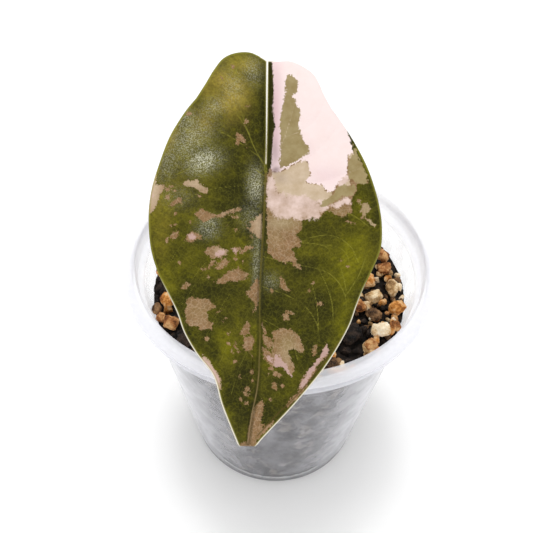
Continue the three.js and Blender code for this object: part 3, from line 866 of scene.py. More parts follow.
TAN_STREAKS = [
    (0.9, [(171, 190), (175, 190)]), (0.9, [(172, 226), (176, 224)]), (1.0, [(233, 217), (237, 217)]),
    (1.0, [(347, 221), (354, 223)]), (0.9, [(361, 217), (368, 220), (372, 223)]),
    (0.9, [(286, 311), (294, 313)]), (0.8, [(216, 314), (219, 311), (222, 309)]),
    (1.0, [(262, 323), (264, 328), (266, 333)]), (0.9, [(248, 350), (253, 356)]),
    (0.8, [(242, 252), (248, 249)]), (0.8, [(297, 263), (301, 268)]), (0.7, [(222, 322), (225, 318)]),
    (0.8, [(243, 396), (250, 393)]),
    (1.5, [(209, 217), (216, 215.5), (226, 213), (235, 210), (240, 208.5)]),
    (1.6, [(240, 252), (246, 248), (251, 247)]), (1.4, [(214, 262), (207, 268), (202, 269)]),
    (1.3, [(163, 187), (168, 190), (172, 186)]),
]
PEPPERED = [
    [(244, 224), (248, 221), (254, 217), (262, 210), (262, 240), (258, 240), (254, 236), (251, 240),
     (249, 242), (246, 240), (250, 235), (251, 229), (246, 229)],
    [(320, 206), (332, 198), (345, 192), (353, 194), (350, 205), (338, 210), (326, 209)],
]
print("specks:", len(TAN_SPECKS), "streaks:", len(TAN_STREAKS))

# %% [markdown]
# The outlines are turned into depths here. Inside a patch the depth grows from nought at its edge,
# and outside it falls below nought, so one number per point says both where the edge is and which
# side the point is on. Depths are cut off at 6 mm, since only those near the edge matter.

# %% Measure the patches
SPECK_SPREAD = 0.15
DEEPEST_MARK = 6


def deepest(outlines, specks=(), streaks=()):
    """Each leaf point's depth inside the nearest patch, in millimetres."""
    depth = np.max([outline_depth(blade_pixels, outline) for outline in outlines], axis=0)
    for x, y, radius in specks:
        reach = radius + SPECK_SPREAD
        depth = np.maximum(depth, reach - np.linalg.norm(blade_pixels - (x, y), axis=1))
    for half_width, line in streaks:
        depth = np.maximum(depth, half_width - line_distance(blade_pixels, line))
    return np.clip(depth * MM_PER_PIXEL, -DEEPEST_MARK, DEEPEST_MARK)


blade_marks = {
    "tan": deepest(TAN_AREAS, TAN_SPECKS, TAN_STREAKS),
    "beige": deepest(BEIGE_AREAS),
    "pale": deepest(PALE_AREAS),
    "rose": deepest(ROSE_AREAS),
    "olive": deepest(OLIVE_AREAS),
    "pink": deepest(PINK_AREAS),
    "deep_green_and_shade": deepest(DEEP_GREEN_AND_SHADE_AREAS),
    "peppered": deepest(PEPPERED),
}
patch_shares = {name: round(float((depth > 0).mean()), 3) for name, depth in blade_marks.items()}
print("share of points in a patch:", patch_shares)

# %% [markdown]
# The green between the patches isn't even either. It has a painted glow, yellow where the light
# comes through. It turns bronze on the left lobe, partly as a painted sheen there, and darkens with
# painted shade beside the slit and midrib. It takes a painted silvery sheen, a highlight where the
# puffed skin catches the light. These changes are soft, so each is a round brush mark: a place, two
# half sizes in pixels, a turn in degrees and a strength.

# %% Brush the green
GLOW = [
    (350, 262, 13, 30, 8, 0.8), (344, 318, 9, 32, 14, 0.5), (226, 346, 8, 24, -24, 0.5),
    (226, 340, 5, 8, 0, 0.4), (240, 60, 14, 8, 0, 0.5), (166, 236, 12, 34, 0, 0.1),
    (168, 280, 9, 26, -16, 0.25), (190, 150, 20, 30, 20, 0.2), (276, 352, 22, 30, 0, 0.25),
    (360, 210, 14, 30, 0, 0.25), (200, 262, 22, 14, 0, 0.1), (285, 386, 12, 20, 30, 0.35),
    (330, 285, 20, 40, 0, 0.25), (210, 370, 8, 22, -20, 0.35),
]
# Bronze on the left lobe: partly the leaf's own colour, partly a painted glossy sheen.
BRONZE_AND_SHEEN = [
    (233, 96, 15, 24, 8, 1.0), (216, 84, 20, 16, -40, 0.7), (243, 112, 8, 20, 0, 0.25),
    (206, 118, 26, 14, -50, 0.45), (178, 180, 22, 30, 0, 0.15), (240, 66, 18, 10, 0, 0.5),
    (164, 225, 10, 40, 8, 0.2), (168, 140, 9, 26, 24, 0.5), (158, 200, 8, 40, 0, 0.25),
]
# Painted shade: darker green beside the slit, the midrib and the folds of the blade.
PAINTED_SHADE = [
    (262, 118, 5, 52, 0, 1.0), (236, 190, 26, 17, 0, 0.5), (215, 290, 24, 17, -20, 0.85),
    (232, 204, 20, 10, 0, 0.6), (320, 232, 22, 14, 0, 0.6), (292, 300, 26, 26, 0, 0.6),
    (241, 420, 9, 22, 10, 0.7), (290, 252, 14, 12, 0, 0.6), (300, 320, 20, 10, 0, 0.5),
    (222, 305, 24, 8, 0, 0.5), (232, 134, 18, 10, 0, 0.35), (300, 340, 14, 30, 0, 0.35),
    (192, 250, 20, 8, 0, 0.3), (282, 272, 12, 20, 0, 0.45), (270, 404, 9, 18, 20, 0.4),
    (246, 156, 14, 14, 0, 0.5), (230, 310, 16, 14, 0, 0.45), (373, 200, 6, 40, -12, 0.35),
    (318, 300, 18, 18, 0, 0.85), (284, 238, 16, 10, 0, 0.4), (285, 262, 9, 9, 0, 0.8),
    (355, 317, 8, 12, 30, 0.8), (235, 292, 18, 9, -20, 0.5), (304, 268, 20, 13, 0, 0.9),
    (222, 318, 16, 10, 0, 0.8), (278, 382, 14, 16, 0, 0.8), (257, 160, 9, 15, 0, 0.95),
    (201, 262, 12, 8, 0, 0.5), (243, 372, 12, 24, 0, 0.85), (222, 205, 24, 8, 0, 0.8),
    (271, 283, 9, 12, 0, 0.5), (313, 289, 12, 10, 0, 0.5), (233, 160, 22, 20, 0, 0.55),
    (230, 190, 22, 14, 0, 0.8), (250, 148, 9, 30, 0, 0.5), (222, 136, 14, 7, 0, 0.35),
    (245, 203, 10, 8, 0, 0.85), (327, 331, 10, 10, 0, 0.7), (243, 317, 8, 12, 0, 0.6),
    (351, 230, 10, 8, 0, 0.45), (313, 317, 12, 10, 0, 0.6), (300, 392, 10, 16, 36, 0.4),
]
# Painted highlight: a pale silvery sheen where the puffed skin catches the light.
PAINTED_SHEEN = [
    (252, 72, 9, 13, 0, 0.32), (233, 88, 10, 15, 0, 0.26), (214, 108, 15, 9, -30, 0.3),
    (203, 161, 15, 10, -20, 1.0), (190, 140, 26, 17, -50, 0.42), (255, 186, 7, 16, 0, 0.75),
    (208, 229, 10, 8, 0, 0.45), (271, 281, 8, 8, 0, 0.25), (250, 216, 10, 12, 0, 0.25),
    (187, 122, 12, 12, -40, 0.4), (178, 196, 16, 12, 0, 0.14), (257, 262, 5, 30, 0, 0.4),
    (170, 160, 10, 22, 20, 0.3), (206, 166, 8, 5, -20, 0.7), (253, 181, 5, 9, 0, 0.5),
    (209, 222, 9, 6, 0, 0.5),
]
green_tones = {"glow": GLOW, "bronze_and_sheen": BRONZE_AND_SHEEN, "painted_shade": PAINTED_SHADE, "painted_sheen": PAINTED_SHEEN}
print("brush marks on the green:", {name: len(strokes) for name, strokes in green_tones.items()})

# %% [markdown]
# The patches have soft tones too: creamier and greener parts in the tan, a grey bruise beside the
# slit, and a lilac blush on the pale half. A leaf point takes the strongest mark that reaches it,
# so marks that overlap never add up to more than one of them.

# %% Brush the patches
CREAMY = [
    (196, 184, 16, 8, 0, 0.55), (153, 186, 9, 30, 0, 0.8), (278, 224, 14, 6, 0, 0.25),
    (290, 355, 8, 12, 30, 0.2), (258, 226, 7, 20, 0, 0.45), (222, 251, 9, 5, 0, 0.35),
    (211, 371, 6, 20, -25, 0.8), (229, 212, 14, 4, -14, 0.15), (366, 208, 8, 9, 0, 0.2),
    (371, 223, 6, 6, 0, 0.35),
]
OLIVE_TINT = [
    (284, 222, 18, 8, 0, 0.8), (288, 346, 10, 14, 0, 0.7), (276, 236, 8, 12, 0, 0.4),
    (200, 312, 12, 14, 0, 0.35), (341, 211, 8, 5, 0, 0.4), (366, 208, 8, 9, 0, 0.95),
    (371, 223, 6, 6, 0, 0.95),
]
BRUISE = [
    (276, 170, 5, 3.5, -20, 0.85), (281, 178, 7, 5, 0, 0.25), (272, 164, 5, 8, 0, 0.4),
    (272.5, 120, 2.5, 26, 0, 0.5), (275, 152, 5, 15, 0, 0.5),
]
BLUSH = [
    (276, 118, 7, 60, 0, 0.9), (280, 190, 12, 20, 0, 0.8), (290, 207, 30, 9, 0, 0.75),
    (325, 176, 20, 10, 0, 0.35), (305, 150, 8, 10, 0, 0.3), (275, 170, 7, 5, 0, 0.6),
]


def brushed(strokes):
    """The strength of soft brush marks at each leaf point, no more than one."""
    total = np.zeros(len(blade_pixels))
    for x, y, half_width, half_height, turn, strength in strokes:
        cos, sin = math.cos(math.radians(turn)), math.sin(math.radians(turn))
        offset = blade_pixels - (x, y)
        across = (offset @ (cos, sin)) / half_width
        down = (offset @ (-sin, cos)) / half_height
        total = np.maximum(total, strength * np.exp(-(across**2 + down**2)))
    return total


patch_tones = {"creamy": CREAMY, "olive_tint": OLIVE_TINT, "bruise": BRUISE, "blush": BLUSH}
tones = {name: brushed(strokes) for name, strokes in (green_tones | patch_tones).items()}
blade_marks |= tones
print("tones brushed:", {name: round(float(strength.mean()), 2) for name, strength in tones.items()})

# %% [markdown]
# The last numbers are distances: to the side veins, the midrib, the crease by the tip and the edge.
# The edge is painted pale, partly as a thin clear margin of skin and partly as a painted rim
# highlight. This happens only on the lower half of the leaf and in the slit, so those places are
# marked too. The midrib narrows towards the tip.

# %% Mark the lines
PALE_EDGE_Y = -20
PALE_EDGE_FADE = 6
SLIT_MARK_Y = 1.5
SLIT_MARK_WIDTH = 1.5
MIDRIB_NARROWING = 0.16
TAPER_LENGTH = 56

across_blade, along_blade = flat_blade[:, 0], flat_blade[:, 1]
low_edge = np.clip((PALE_EDGE_Y - along_blade) / PALE_EDGE_FADE, 0, 1)
beside_slit = (along_blade > SLIT_MARK_Y) & (np.abs(across_blade) < SLIT_MARK_WIDTH)
blade_marks |= {
    "vein": vein_distance, "midrib": midrib_distance, "edge": edge_distance, "crease": crease_distance,
    "pale_edge_and_rim_light": np.maximum(low_edge, beside_slit),
    "midrib_taper": np.clip(-along_blade / TAPER_LENGTH, 0, 1) * MIDRIB_NARROWING,
}
print("numbers stored for the leaf's finish:", len(blade_marks))

# %% [markdown]
# ## The leaf's finish
# The skin is a satin film of tiny domed cells over soft green. The recipe paints as the plant
# does, from the green outwards, and the green comes first: clouds of deep and mid green, the
# brushed tones, streaks that follow the side veins, and cells, whose lighter and darker flecks are
# painted light and shade of the domed skin. The painted silvery sheen, a highlight, is cut up by
# the finest noise, so that its painted glints lie in points and not in one smear.

# %% Mix the leaf's green
LEAF_DEEP = paint(44, 43, 2)
# Painted shade: the dark green laid where the blade is shaded.
LEAF_PAINTED_SHADE = paint(38, 37, 4)
LEAF_MID = paint(90, 85, 15)
LEAF_GLOW = paint(120, 116, 6)
# Partly the leaf's own bronze, partly a painted glossy sheen.
LEAF_BRONZE_AND_SHEEN = paint(150, 130, 50)
# Painted highlight: the pale silvery sheen of the lit skin.
LEAF_PAINTED_SHEEN = paint(216, 214, 190)
LEAF_VEIN = paint(142, 138, 52)
VEIN_LEAN = math.radians(-34)
STREAK_SQUEEZE = (0.22, 1, 1)
CLOUD_SIZE, FLECK_SIZE, PATCHY_SIZE = 8, 1.6, 3.5
STREAK_SIZE, CELL_SHADING_SIZE, PAINTED_GLINT_SIZE = 0.75, 0.42, 0.24


def along_veins(tree, place):
    """The place on the blade, squeezed so that noise runs out in streaks along the side veins."""
    x, y, z = node(tree, "SeparateXYZ", {0: place}).outputs
    mirrored = node(tree, "CombineXYZ", {0: maths(tree, "ABSOLUTE", x), 1: y, 2: z}).outputs[0]
    inputs = {"Vector": mirrored, "Rotation": (-BLADE_TILT, 0, VEIN_LEAN)}
    turned_flat = node(tree, "VectorRotate", inputs, rotation_type="EULER_XYZ").outputs[0]
    return squeezed(tree, turned_flat, STREAK_SQUEEZE)


def leaf_green(tree, place):
    """The green ground, with its brushed tones and its painted sheen."""
    cloud = grain(tree, place, CLOUD_SIZE, detail=8, roughness=0.68)
    fleck = grain(tree, place, FLECK_SIZE, detail=5, roughness=0.7)
    patchy = stepped(tree, grain(tree, place, PATCHY_SIZE, detail=4), 0.25, 0.7, 0.45, 1.1)
    green = layered(tree, ramp(tree, cloud, [(0.41, LEAF_DEEP), (0.65, LEAF_MID)]), [
        (stepped(tree, fleck, 0.5, 0.72, 0, 0.35), LEAF_GLOW),
        (product(tree, mark(tree, "glow"), patchy), LEAF_GLOW),
        (product(tree, mark(tree, "bronze_and_sheen"), patchy), LEAF_BRONZE_AND_SHEEN),
        (mark(tree, "painted_shade"), LEAF_PAINTED_SHADE),
    ])
    streak = grain(tree, along_veins(tree, place), STREAK_SIZE, detail=5, roughness=0.7)
    green = overlaid(tree, 0.28, green, streak, (0.32, 90), (0.7, 255))
    # Painted light and shade: the cells lighten and darken the green as light on the domed skin would.
    cells = grain(tree, place, CELL_SHADING_SIZE, detail=3, roughness=0.7)
    green = overlaid(tree, 0.4, green, cells, (0.3, 120), (0.75, 255))
    # Painted highlight: the pale silvery sheen is laid on in small glints.
    painted_glints = stepped(tree, grain(tree, place, PAINTED_GLINT_SIZE, detail=3, roughness=0.7), 0.46, 0.6, 0.12, 1.0)
    return mixed(tree, product(tree, mark(tree, "painted_sheen"), painted_glints), green, LEAF_PAINTED_SHEEN)


print("green of the leaf: cloud", CLOUD_SIZE, "mm, cells", CELL_SHADING_SIZE, "mm, glints", PAINTED_GLINT_SIZE, "mm")

# %% [markdown]
# Veins run over green and patches alike: side veins that fade in and out, and a net of the finest
# ones. The tan of the islands has a weave of its own and turns creamy or greener in places. Where
# the green is peppered, a finer noise lets specks of that tan through.

# %% Mix the tan and the veins
LEAF_TAN = paint(125, 97, 60)
LEAF_ROSY_TAN = paint(144, 113, 82)
LEAF_CREAMY = paint(206, 184, 156)
LEAF_OLIVE_LOW = paint(142, 124, 82)
PEPPER_SIZE, WEAVE_SIZE, NET_SIZE = 0.7, 0.35, 0.9
VEIN_FADE_SIZE = 5
WANDER_SCALE = 0.7
WANDER_REACH = 1.8


def leaf_veins(tree, colour, tint, strength):
    """Lightens the side veins."""
    fade = stepped(tree, grain(tree, in_millimetres(tree), VEIN_FADE_SIZE, detail=2), 0.36, 0.6, 0.3, 1)
    share = product(tree, stepped(tree, mark(tree, "vein"), 0.02, 0.16, strength, 0), fade)
    return mixed(tree, share, colour, tint)


def leaf_net(tree, place):
    """The net of finest veins, one on its lines."""
    inputs = {"Vector": place, "Scale": WANDER_SCALE, "Detail": 3}
    wander = node(tree, "TexNoise", inputs).outputs["Color"]
    shift = node(tree, "VectorMath", {0: wander, "Scale": WANDER_REACH}, operation="SCALE").outputs[0]
    warped = node(tree, "VectorMath", {0: place, 1: shift}, operation="ADD").outputs[0]
    inputs = {"Vector": warped, "Scale": 1 / NET_SIZE}
    lines = node(tree, "TexVoronoi", inputs, feature="DISTANCE_TO_EDGE").outputs[0]
    return stepped(tree, lines, 0.01, 0.10, 1, 0)


def leaf_tan(tree, place, mottle, net):
    """The tan of the islands, with lighter and greener parts."""
    tan = ramp(tree, mottle, [(0.36, LEAF_TAN), (0.64, LEAF_ROSY_TAN)])
    tan = overlaid(tree, 0.25, tan, grain(tree, place, WEAVE_SIZE, detail=3), (0.34, 130), (0.68, 245))
    return layered(tree, tan, [
        (mark(tree, "olive_tint"), LEAF_OLIVE_LOW),
        (mark(tree, "creamy"), LEAF_CREAMY),
        (product(tree, net, 0.22), LEAF_CREAMY),
    ])


def leaf_pepper(tree, place):
    pepper = stepped(tree, grain(tree, place, PEPPER_SIZE, detail=3), 0.5, 0.56)
    return product(tree, pepper, stepped(tree, mark(tree, "peppered"), -0.2, 0.4))


print("tan of the islands: weave", WEAVE_SIZE, "mm, pepper", PEPPER_SIZE, "mm, net of veins", NET_SIZE, "mm")

# %% [markdown]
# A patch is cut where its depth passes nought, after a ragged noise has been added to it. All the
# patches share that noise, so that neighbours meet along one line, as sectors of cells do. Each has
# two tones of its own, mottled by one more noise. The rose patch fades out instead of stopping.

# %% Mix the patches
LEAF_BEIGE = paint(204, 184, 160)
LEAF_BEIGE_SHADE = paint(184, 162, 132)
LEAF_ROSE = paint(222, 198, 188)
LEAF_ROSE_SHADE = paint(188, 162, 144)
LEAF_PALE = paint(240, 222, 219)
LEAF_PALE_SHADE = paint(238, 218, 214)
LEAF_LILAC = paint(219, 185, 190)
LEAF_OLIVE = paint(158, 142, 102)
LEAF_PINK = paint(206, 172, 168)
LEAF_BRUISE = paint(138, 120, 120)
MOTTLE_SIZE, RAGGED_SIZE, RAGGED_DETAIL_SIZE = 2.2, 0.8, 0.3


def leaf_patch(tree, name, ragged, softness=0.05):
    """One inside a patch, nought outside, with a ragged edge."""
    return stepped(tree, sum_of(tree, mark(tree, name), ragged), -softness, softness)


def leaf_colours(tree, place):
    """The green, and over it the patches in the order in which they cover each other."""
    coarse = grain(tree, place, RAGGED_SIZE, detail=6, roughness=0.75)
    fine = grain(tree, place, RAGGED_DETAIL_SIZE, detail=2)
    ragged = sum_of(
        tree, stepped(tree, coarse, 0.28, 0.72, -0.30, 0.30), stepped(tree, fine, 0.3, 0.7, -0.13, 0.13),
    )
    mottle = grain(tree, place, MOTTLE_SIZE, detail=6, roughness=0.65)
    soft = sum_of(tree, ragged, stepped(tree, mottle, 0.3, 0.7, -0.45, 0.45))
    net = leaf_net(tree, place)
    beige = ramp(tree, mottle, [(0.3, LEAF_BEIGE_SHADE), (0.65, LEAF_BEIGE)])
    rose = ramp(tree, mottle, [(0.34, LEAF_ROSE_SHADE), (0.64, LEAF_ROSE)])
    pale = ramp(tree, mottle, [(0.3, LEAF_PALE_SHADE), (0.6, LEAF_PALE)])
    pale = mixed(tree, mark(tree, "blush"), pale, LEAF_LILAC)
    olive = ramp(tree, mottle, [(0.35, LEAF_OLIVE_LOW), (0.6, LEAF_OLIVE)])
    tan_share = maths(tree, "MAXIMUM", leaf_patch(tree, "tan", ragged), leaf_pepper(tree, place))
    return layered(tree, leaf_veins(tree, leaf_green(tree, place), LEAF_VEIN, 0.62), [
        (product(tree, net, 0.13), LEAF_VEIN),
        (tan_share, leaf_tan(tree, place, mottle, net)),
        (leaf_patch(tree, "beige", ragged), beige),
        (leaf_patch(tree, "rose", soft, 0.3), rose),
        (leaf_patch(tree, "pale", ragged), leaf_veins(tree, pale, LEAF_LILAC, 0.3)),
        (leaf_patch(tree, "olive", ragged), leaf_veins(tree, olive, LEAF_BEIGE, 0.6)),
        (product(tree, leaf_patch(tree, "pink", ragged, 0.12), 0.62), LEAF_PINK),
        (mark(tree, "bruise"), LEAF_BRUISE),
        # Green margin beside the slit, darkened partly as painted shade.
        (leaf_patch(tree, "deep_green_and_shade", ragged), LEAF_DEEP),
    ])


print("patches mixed: ragged edges from", RAGGED_DETAIL_SIZE, "to", RAGGED_SIZE, "mm")

# %% [markdown]
# Over the patches lie the midrib with a groove of painted shade on each side, and the crease by the
# tip as a line of painted shade. There is also a lighter line just inside the edge, and the pale
# rim, which is partly a real margin and partly a painted rim highlight. The underside has the same
# pattern in paler green.
# The bump is a pattern of tiny cells a quarter of a millimetre across, which gives a satin skin.

# %% Finish the leaf
LEAF_MIDRIB = paint(98, 88, 34)
LEAF_LOW_MIDRIB = paint(150, 126, 92)
# The pale rim: partly a real clear margin, partly a painted rim highlight.
LEAF_MARGIN_AND_RIM_LIGHT = paint(236, 228, 212)
# Painted shade: the dark line along the crease by the tip.
LEAF_PAINTED_CREASE_SHADE = paint(84, 68, 30)
LEAF_UNDERSIDE = paint(168, 172, 118)
SKIN_CELL_SIZE = 0.26
SHEEN_SIZE = 0.6
LEAF_GLOSS = 0.09


def green_beside_midrib(tree):
    """One where the blade is green beside the midrib, nought on the pale half."""
    pale_half = maths(tree, "MAXIMUM", mark(tree, "pale"), mark(tree, "rose"))
    return stepped(tree, pale_half, -0.9, -0.4, 1, 0)


def leaf_lines(tree):
    """The lines of the blade, as (share, tone) pairs."""
    midrib, edge, taper = mark(tree, "midrib"), mark(tree, "edge"), mark(tree, "midrib_taper")
    on_green = green_beside_midrib(tree)
    rib_tone = mixed(tree, stepped(tree, taper, 0.08, 0.16), LEAF_MIDRIB, LEAF_LOW_MIDRIB)
    # The pale rim: partly a real clear margin, partly a painted rim highlight.
    pale_rim_and_highlight = product(tree, stepped(tree, edge, 0.03, 0.2, 0.9, 0), mark(tree, "pale_edge_and_rim_light"))
    return [
        # Painted shade: a dark groove beside the midrib on the green, and a dark line along the crease by
        # the tip.
        (product(tree, stepped(tree, midrib, 0.4, 0.8, 0.5, 0), on_green), LEAF_PAINTED_SHADE),
        (stepped(tree, sum_of(tree, midrib, taper), 0.12, 0.34, 0.85, 0), rib_tone),
        (stepped(tree, mark(tree, "crease"), 0.05, 0.22, 0.7, 0), LEAF_PAINTED_CREASE_SHADE),
        (product(tree, stepped(tree, edge, 0.1, 0.45, 0.55, 0), on_green), LEAF_VEIN),
        (pale_rim_and_highlight, LEAF_MARGIN_AND_RIM_LIGHT),
        (product(tree, mark(tree, "under"), 0.5), LEAF_UNDERSIDE),
    ]


def leaf_finish():
    material, tree, place = new_finish("leaf_skin")
    colour = layered(tree, leaf_colours(tree, place), leaf_lines(tree))
    cells = node(tree, "TexVoronoi", {"Vector": place, "Scale": 1 / SKIN_CELL_SIZE}).outputs["Distance"]
    roughness = stepped(tree, grain(tree, place, SHEEN_SIZE, detail=3), 0.25, 0.75, 0.36, 0.56)
    finished(tree, shaded(tree, colour, roughness, bumped(tree, cells, 0.03, 0.5), LEAF_GLOSS))
    return material


on_rim = len(blade_source) - 2 * len(flat_blade)
under = np.concatenate([np.zeros(len(flat_blade)), np.ones(len(flat_blade)), np.full(on_rim, 0.5)])
marks = {name: values[blade_source] for name, values in blade_marks.items()} | {"under": under}
leaf = new_piece("leaf", blade_points, blade_faces, leaf_finish(), marks)
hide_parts("leaf_blade")
print("leaf faces:", len(leaf.data.polygons))

# %% [markdown]
# ## The stalk
# The petiole carries the blade. It leaves the crown upright, leans forward and runs into the
# midrib under the joint, so it swells a little there instead of stopping dead. A bevelled curve
# would give a plain pipe. Rings of points set along the measured route let it keep fine ribs, a
# shallow groove on its upper side, and a taper like the real one.

# %% Grow the petiole
CORM_TOP = 73.0
GAP = 0.3
PETIOLE_FOOT_RADIUS = 2.3
PETIOLE_NECK_RADIUS = 1.2
PETIOLE_ROUTE = [
    (0, 0, CORM_TOP), (-0.4, -1.6, 88), (-1.5, -7.6, 106), (-2.9, -17.8, 122.6),
    (JOINT[0], JOINT[1] + 0.5, JOINT[2] - 0.6),
]
PETIOLE_RINGS = 200
PETIOLE_SIDES = 48
PETIOLE_RIBS = 15
RIB_SHARE = 0.012
GROOVE_SHARE = 0.10
NECK_SHARE = 0.28
STALK_STREAK_SIZE, STALK_FLECK_SIZE = 0.5, 1.3


def rings_along(path, radius_at, sides):
    """Rings of points round a path. radius_at(along, angle) gives the radius in millimetres."""
    ahead = np.gradient(path, axis=0)
    ahead /= np.linalg.norm(ahead, axis=1, keepdims=True)
    aside = np.cross(ahead, (0, 1, 0.2))
    aside /= np.linalg.norm(aside, axis=1, keepdims=True)
    above = np.cross(aside, ahead)
    angle = np.linspace(0, 2 * math.pi, sides, endpoint=False)
    along = np.linspace(0, 1, len(path))
    radius = radius_at(along[:, None], angle[None, :])[..., None]
    across, up = np.cos(angle)[None, :, None], np.sin(angle)[None, :, None]
    return path[:, None] + radius * (across * aside[:, None] + up * above[:, None])


def tube_faces(rings, sides):
    """Faces of a closed tube: its wall, and a flat end of one face at each end."""
    numbers = np.arange(rings * sides).reshape(rings, sides)
    wall = grid_faces(np.hstack([numbers, numbers[:, :1]]), flip=True)
    return [*wall.tolist(), numbers[0, ::-1].tolist(), numbers[-1].tolist()]


def petiole_radius(along, angle):
    radius = PETIOLE_FOOT_RADIUS + (PETIOLE_NECK_RADIUS - PETIOLE_FOOT_RADIUS) * along**0.8
    ribs = RIB_SHARE * np.cos(PETIOLE_RIBS * angle)
    groove = -GROOVE_SHARE * bell(np.abs(angle - 1.5 * math.pi), 0.45) * (1 - along)
    neck = NECK_SHARE * bell(1 - along, 0.035)
    return radius * (1 + ribs + groove + neck)


def petiole_finish():
    material, tree, place = new_finish("petiole_skin")
    streaks = grain(tree, squeezed(tree, place, (1, 1, 0.12)), STALK_STREAK_SIZE, detail=4)
    greens = [(0.32, paint(84, 92, 34)), (0.55, paint(122, 126, 56)), (0.72, paint(168, 140, 110))]
    flecks = stepped(tree, grain(tree, place, STALK_FLECK_SIZE, detail=4), 0.58, 0.66, 0, 0.55)
    colour = mixed(tree, flecks, ramp(tree, streaks, greens), paint(92, 58, 40))
    roughness = stepped(tree, streaks, 0.3, 0.7, 0.34, 0.5)
    finished(tree, shaded(tree, colour, roughness, bumped(tree, streaks, 0.05, 0.6), specular=0.4))
    return material


petiole_path = smooth_curve(PETIOLE_ROUTE, even_fractions(PETIOLE_ROUTE, 0, 1, PETIOLE_RINGS))
petiole_rings = rings_along(petiole_path, petiole_radius, PETIOLE_SIDES)
petiole_faces = tube_faces(PETIOLE_RINGS, PETIOLE_SIDES)
petiole = new_piece("stalk", petiole_rings.reshape(-1, 3), petiole_faces, petiole_finish())
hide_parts("petiole")
stalk_length = np.linalg.norm(np.diff(petiole_path, axis=0), axis=1).sum()
print("stalk length in mm:", round(float(stalk_length), 1))

# %% [markdown]
# ## The sheath
# The foot of the stalk is wrapped in the papery remains of the leaf before it. It is thin and
# wrinkled lengthwise, and its top edge has dried and torn lower on one side. It has an inner and
# an outer skin a fraction of a millimetre apart, so it's a closed sheet and not a surface with no
# back.

# %% Wrap the sheath
SHEATH_HEIGHT = 17.0
SHEATH_START = 0.6
SHEATH_CLEARANCE = 0.55
SHEATH_BULGE = 1.1
SHEATH_FLARE = 0.5
SHEATH_CURL = 0.35
SHEATH_DIP = 0.3
SHEATH_THICKNESS = 0.22
SHEATH_ROWS = 70
SHEATH_SIDES = 120
FIBRE_SIZE, SHEATH_STAIN_SIZE = 0.35, 4


def sheath_skin(offset):
    """One skin of the sheath, offset outwards from its middle."""
    round_stalk = np.linspace(0, 2 * math.pi, SHEATH_SIDES, endpoint=False)
    along, angle = np.meshgrid(np.linspace(0, 1, SHEATH_ROWS), round_stalk, indexing="ij")
    tear = SHEATH_DIP * (1 - np.cos(angle)) / 2 + 0.05 * np.sin(5 * angle + 1) + 0.035 * np.sin(13 * angle)
    height = CORM_TOP - SHEATH_START + along * SHEATH_HEIGHT * (1 - along * np.maximum(tear, 0.02))
    swell = SHEATH_BULGE * (1 - along) ** 2 + SHEATH_FLARE * along**3
    wrinkle = 0.07 * np.sin(22 * angle + 3 * along) + 0.05 * np.sin(9 * angle - 5 * along)
    curl = SHEATH_CURL * along**6 * np.sin(3 * angle)
    radius = PETIOLE_FOOT_RADIUS + SHEATH_CLEARANCE + swell + wrinkle + curl + offset
    centre_x = np.interp(height, petiole_path[:, 2], petiole_path[:, 0])
    centre_y = np.interp(height, petiole_path[:, 2], petiole_path[:, 1])
    return np.stack([centre_x + radius * np.sin(angle), centre_y - radius * np.cos(angle), height], axis=-1)


def sheath_finish():
    material, tree, place = new_finish("dry_sheath")
    fibres = grain(tree, squeezed(tree, place, (1, 1, 0.1)), FIBRE_SIZE, detail=4)
    browns = [(0.3, paint(112, 82, 48)), (0.55, paint(164, 132, 88)), (0.75, paint(196, 170, 126))]
    stain = stepped(tree, grain(tree, place, SHEATH_STAIN_SIZE, detail=4), 0.5, 0.7, 0, 0.5)
    colour = mixed(tree, stain, ramp(tree, fibres, browns), paint(86, 58, 36))
    roughness = stepped(tree, fibres, 0.3, 0.7, 0.7, 0.9)
    finished(tree, shaded(tree, colour, roughness, bumped(tree, fibres, 0.08)))
    return material


def loop_faces(skins):
    """Faces over a closed loop of ringed skins, each joined to the next and the last to the first."""
    numbers = np.vstack([skins, skins[:1]])
    return grid_faces(np.hstack([numbers, numbers[:, :1]]), flip=True)


half_thickness = SHEATH_THICKNESS / 2
sheath_loop = np.concatenate([sheath_skin(half_thickness), sheath_skin(-half_thickness)[::-1]])
sheath_faces = loop_faces(np.arange(2 * SHEATH_ROWS * SHEATH_SIDES).reshape(-1, SHEATH_SIDES))
sheath = new_piece("dry_sheath", sheath_loop.reshape(-1, 3), sheath_faces, sheath_finish())
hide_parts("petiole_sheath")
print("sheath faces:", len(sheath.data.polygons))

# %% [markdown]
# ## The corm and the roots
# The corm is the swollen foot of the plant, half sunk in the mix. Old leaves leave rings of scars
# on it. A turned profile roughened by noise gives its skin, with ring scars as shallow steps. The
# roots lie wholly inside the mix, so their measured solids stay and only take a root's finish.

# %% Turn the corm
CORM_RADIUS = 8.0
CORM_HEIGHT = 14.0
CORM_ROWS = 90
CORM_SIDES = 140
CORM_SCARS = 7
SCAR_DEPTH = 0.12
CORM_INSET = 0.35
CORM_ROUGHNESS = 0.035


def turned(profile, sides):
    """Rings of points round the upright axis, from (radius, height) pairs."""
    angle = np.linspace(0, 2 * math.pi, sides, endpoint=False)
    profile = np.asarray(profile, float)
    ring = np.stack([np.cos(angle), np.sin(angle)], axis=-1)
    flat = profile[:, 0][:, None, None] * ring[None]
    height = np.broadcast_to(profile[:, 1][:, None, None], (*flat.shape[:2], 1))
    return np.concatenate([flat, height], axis=-1)


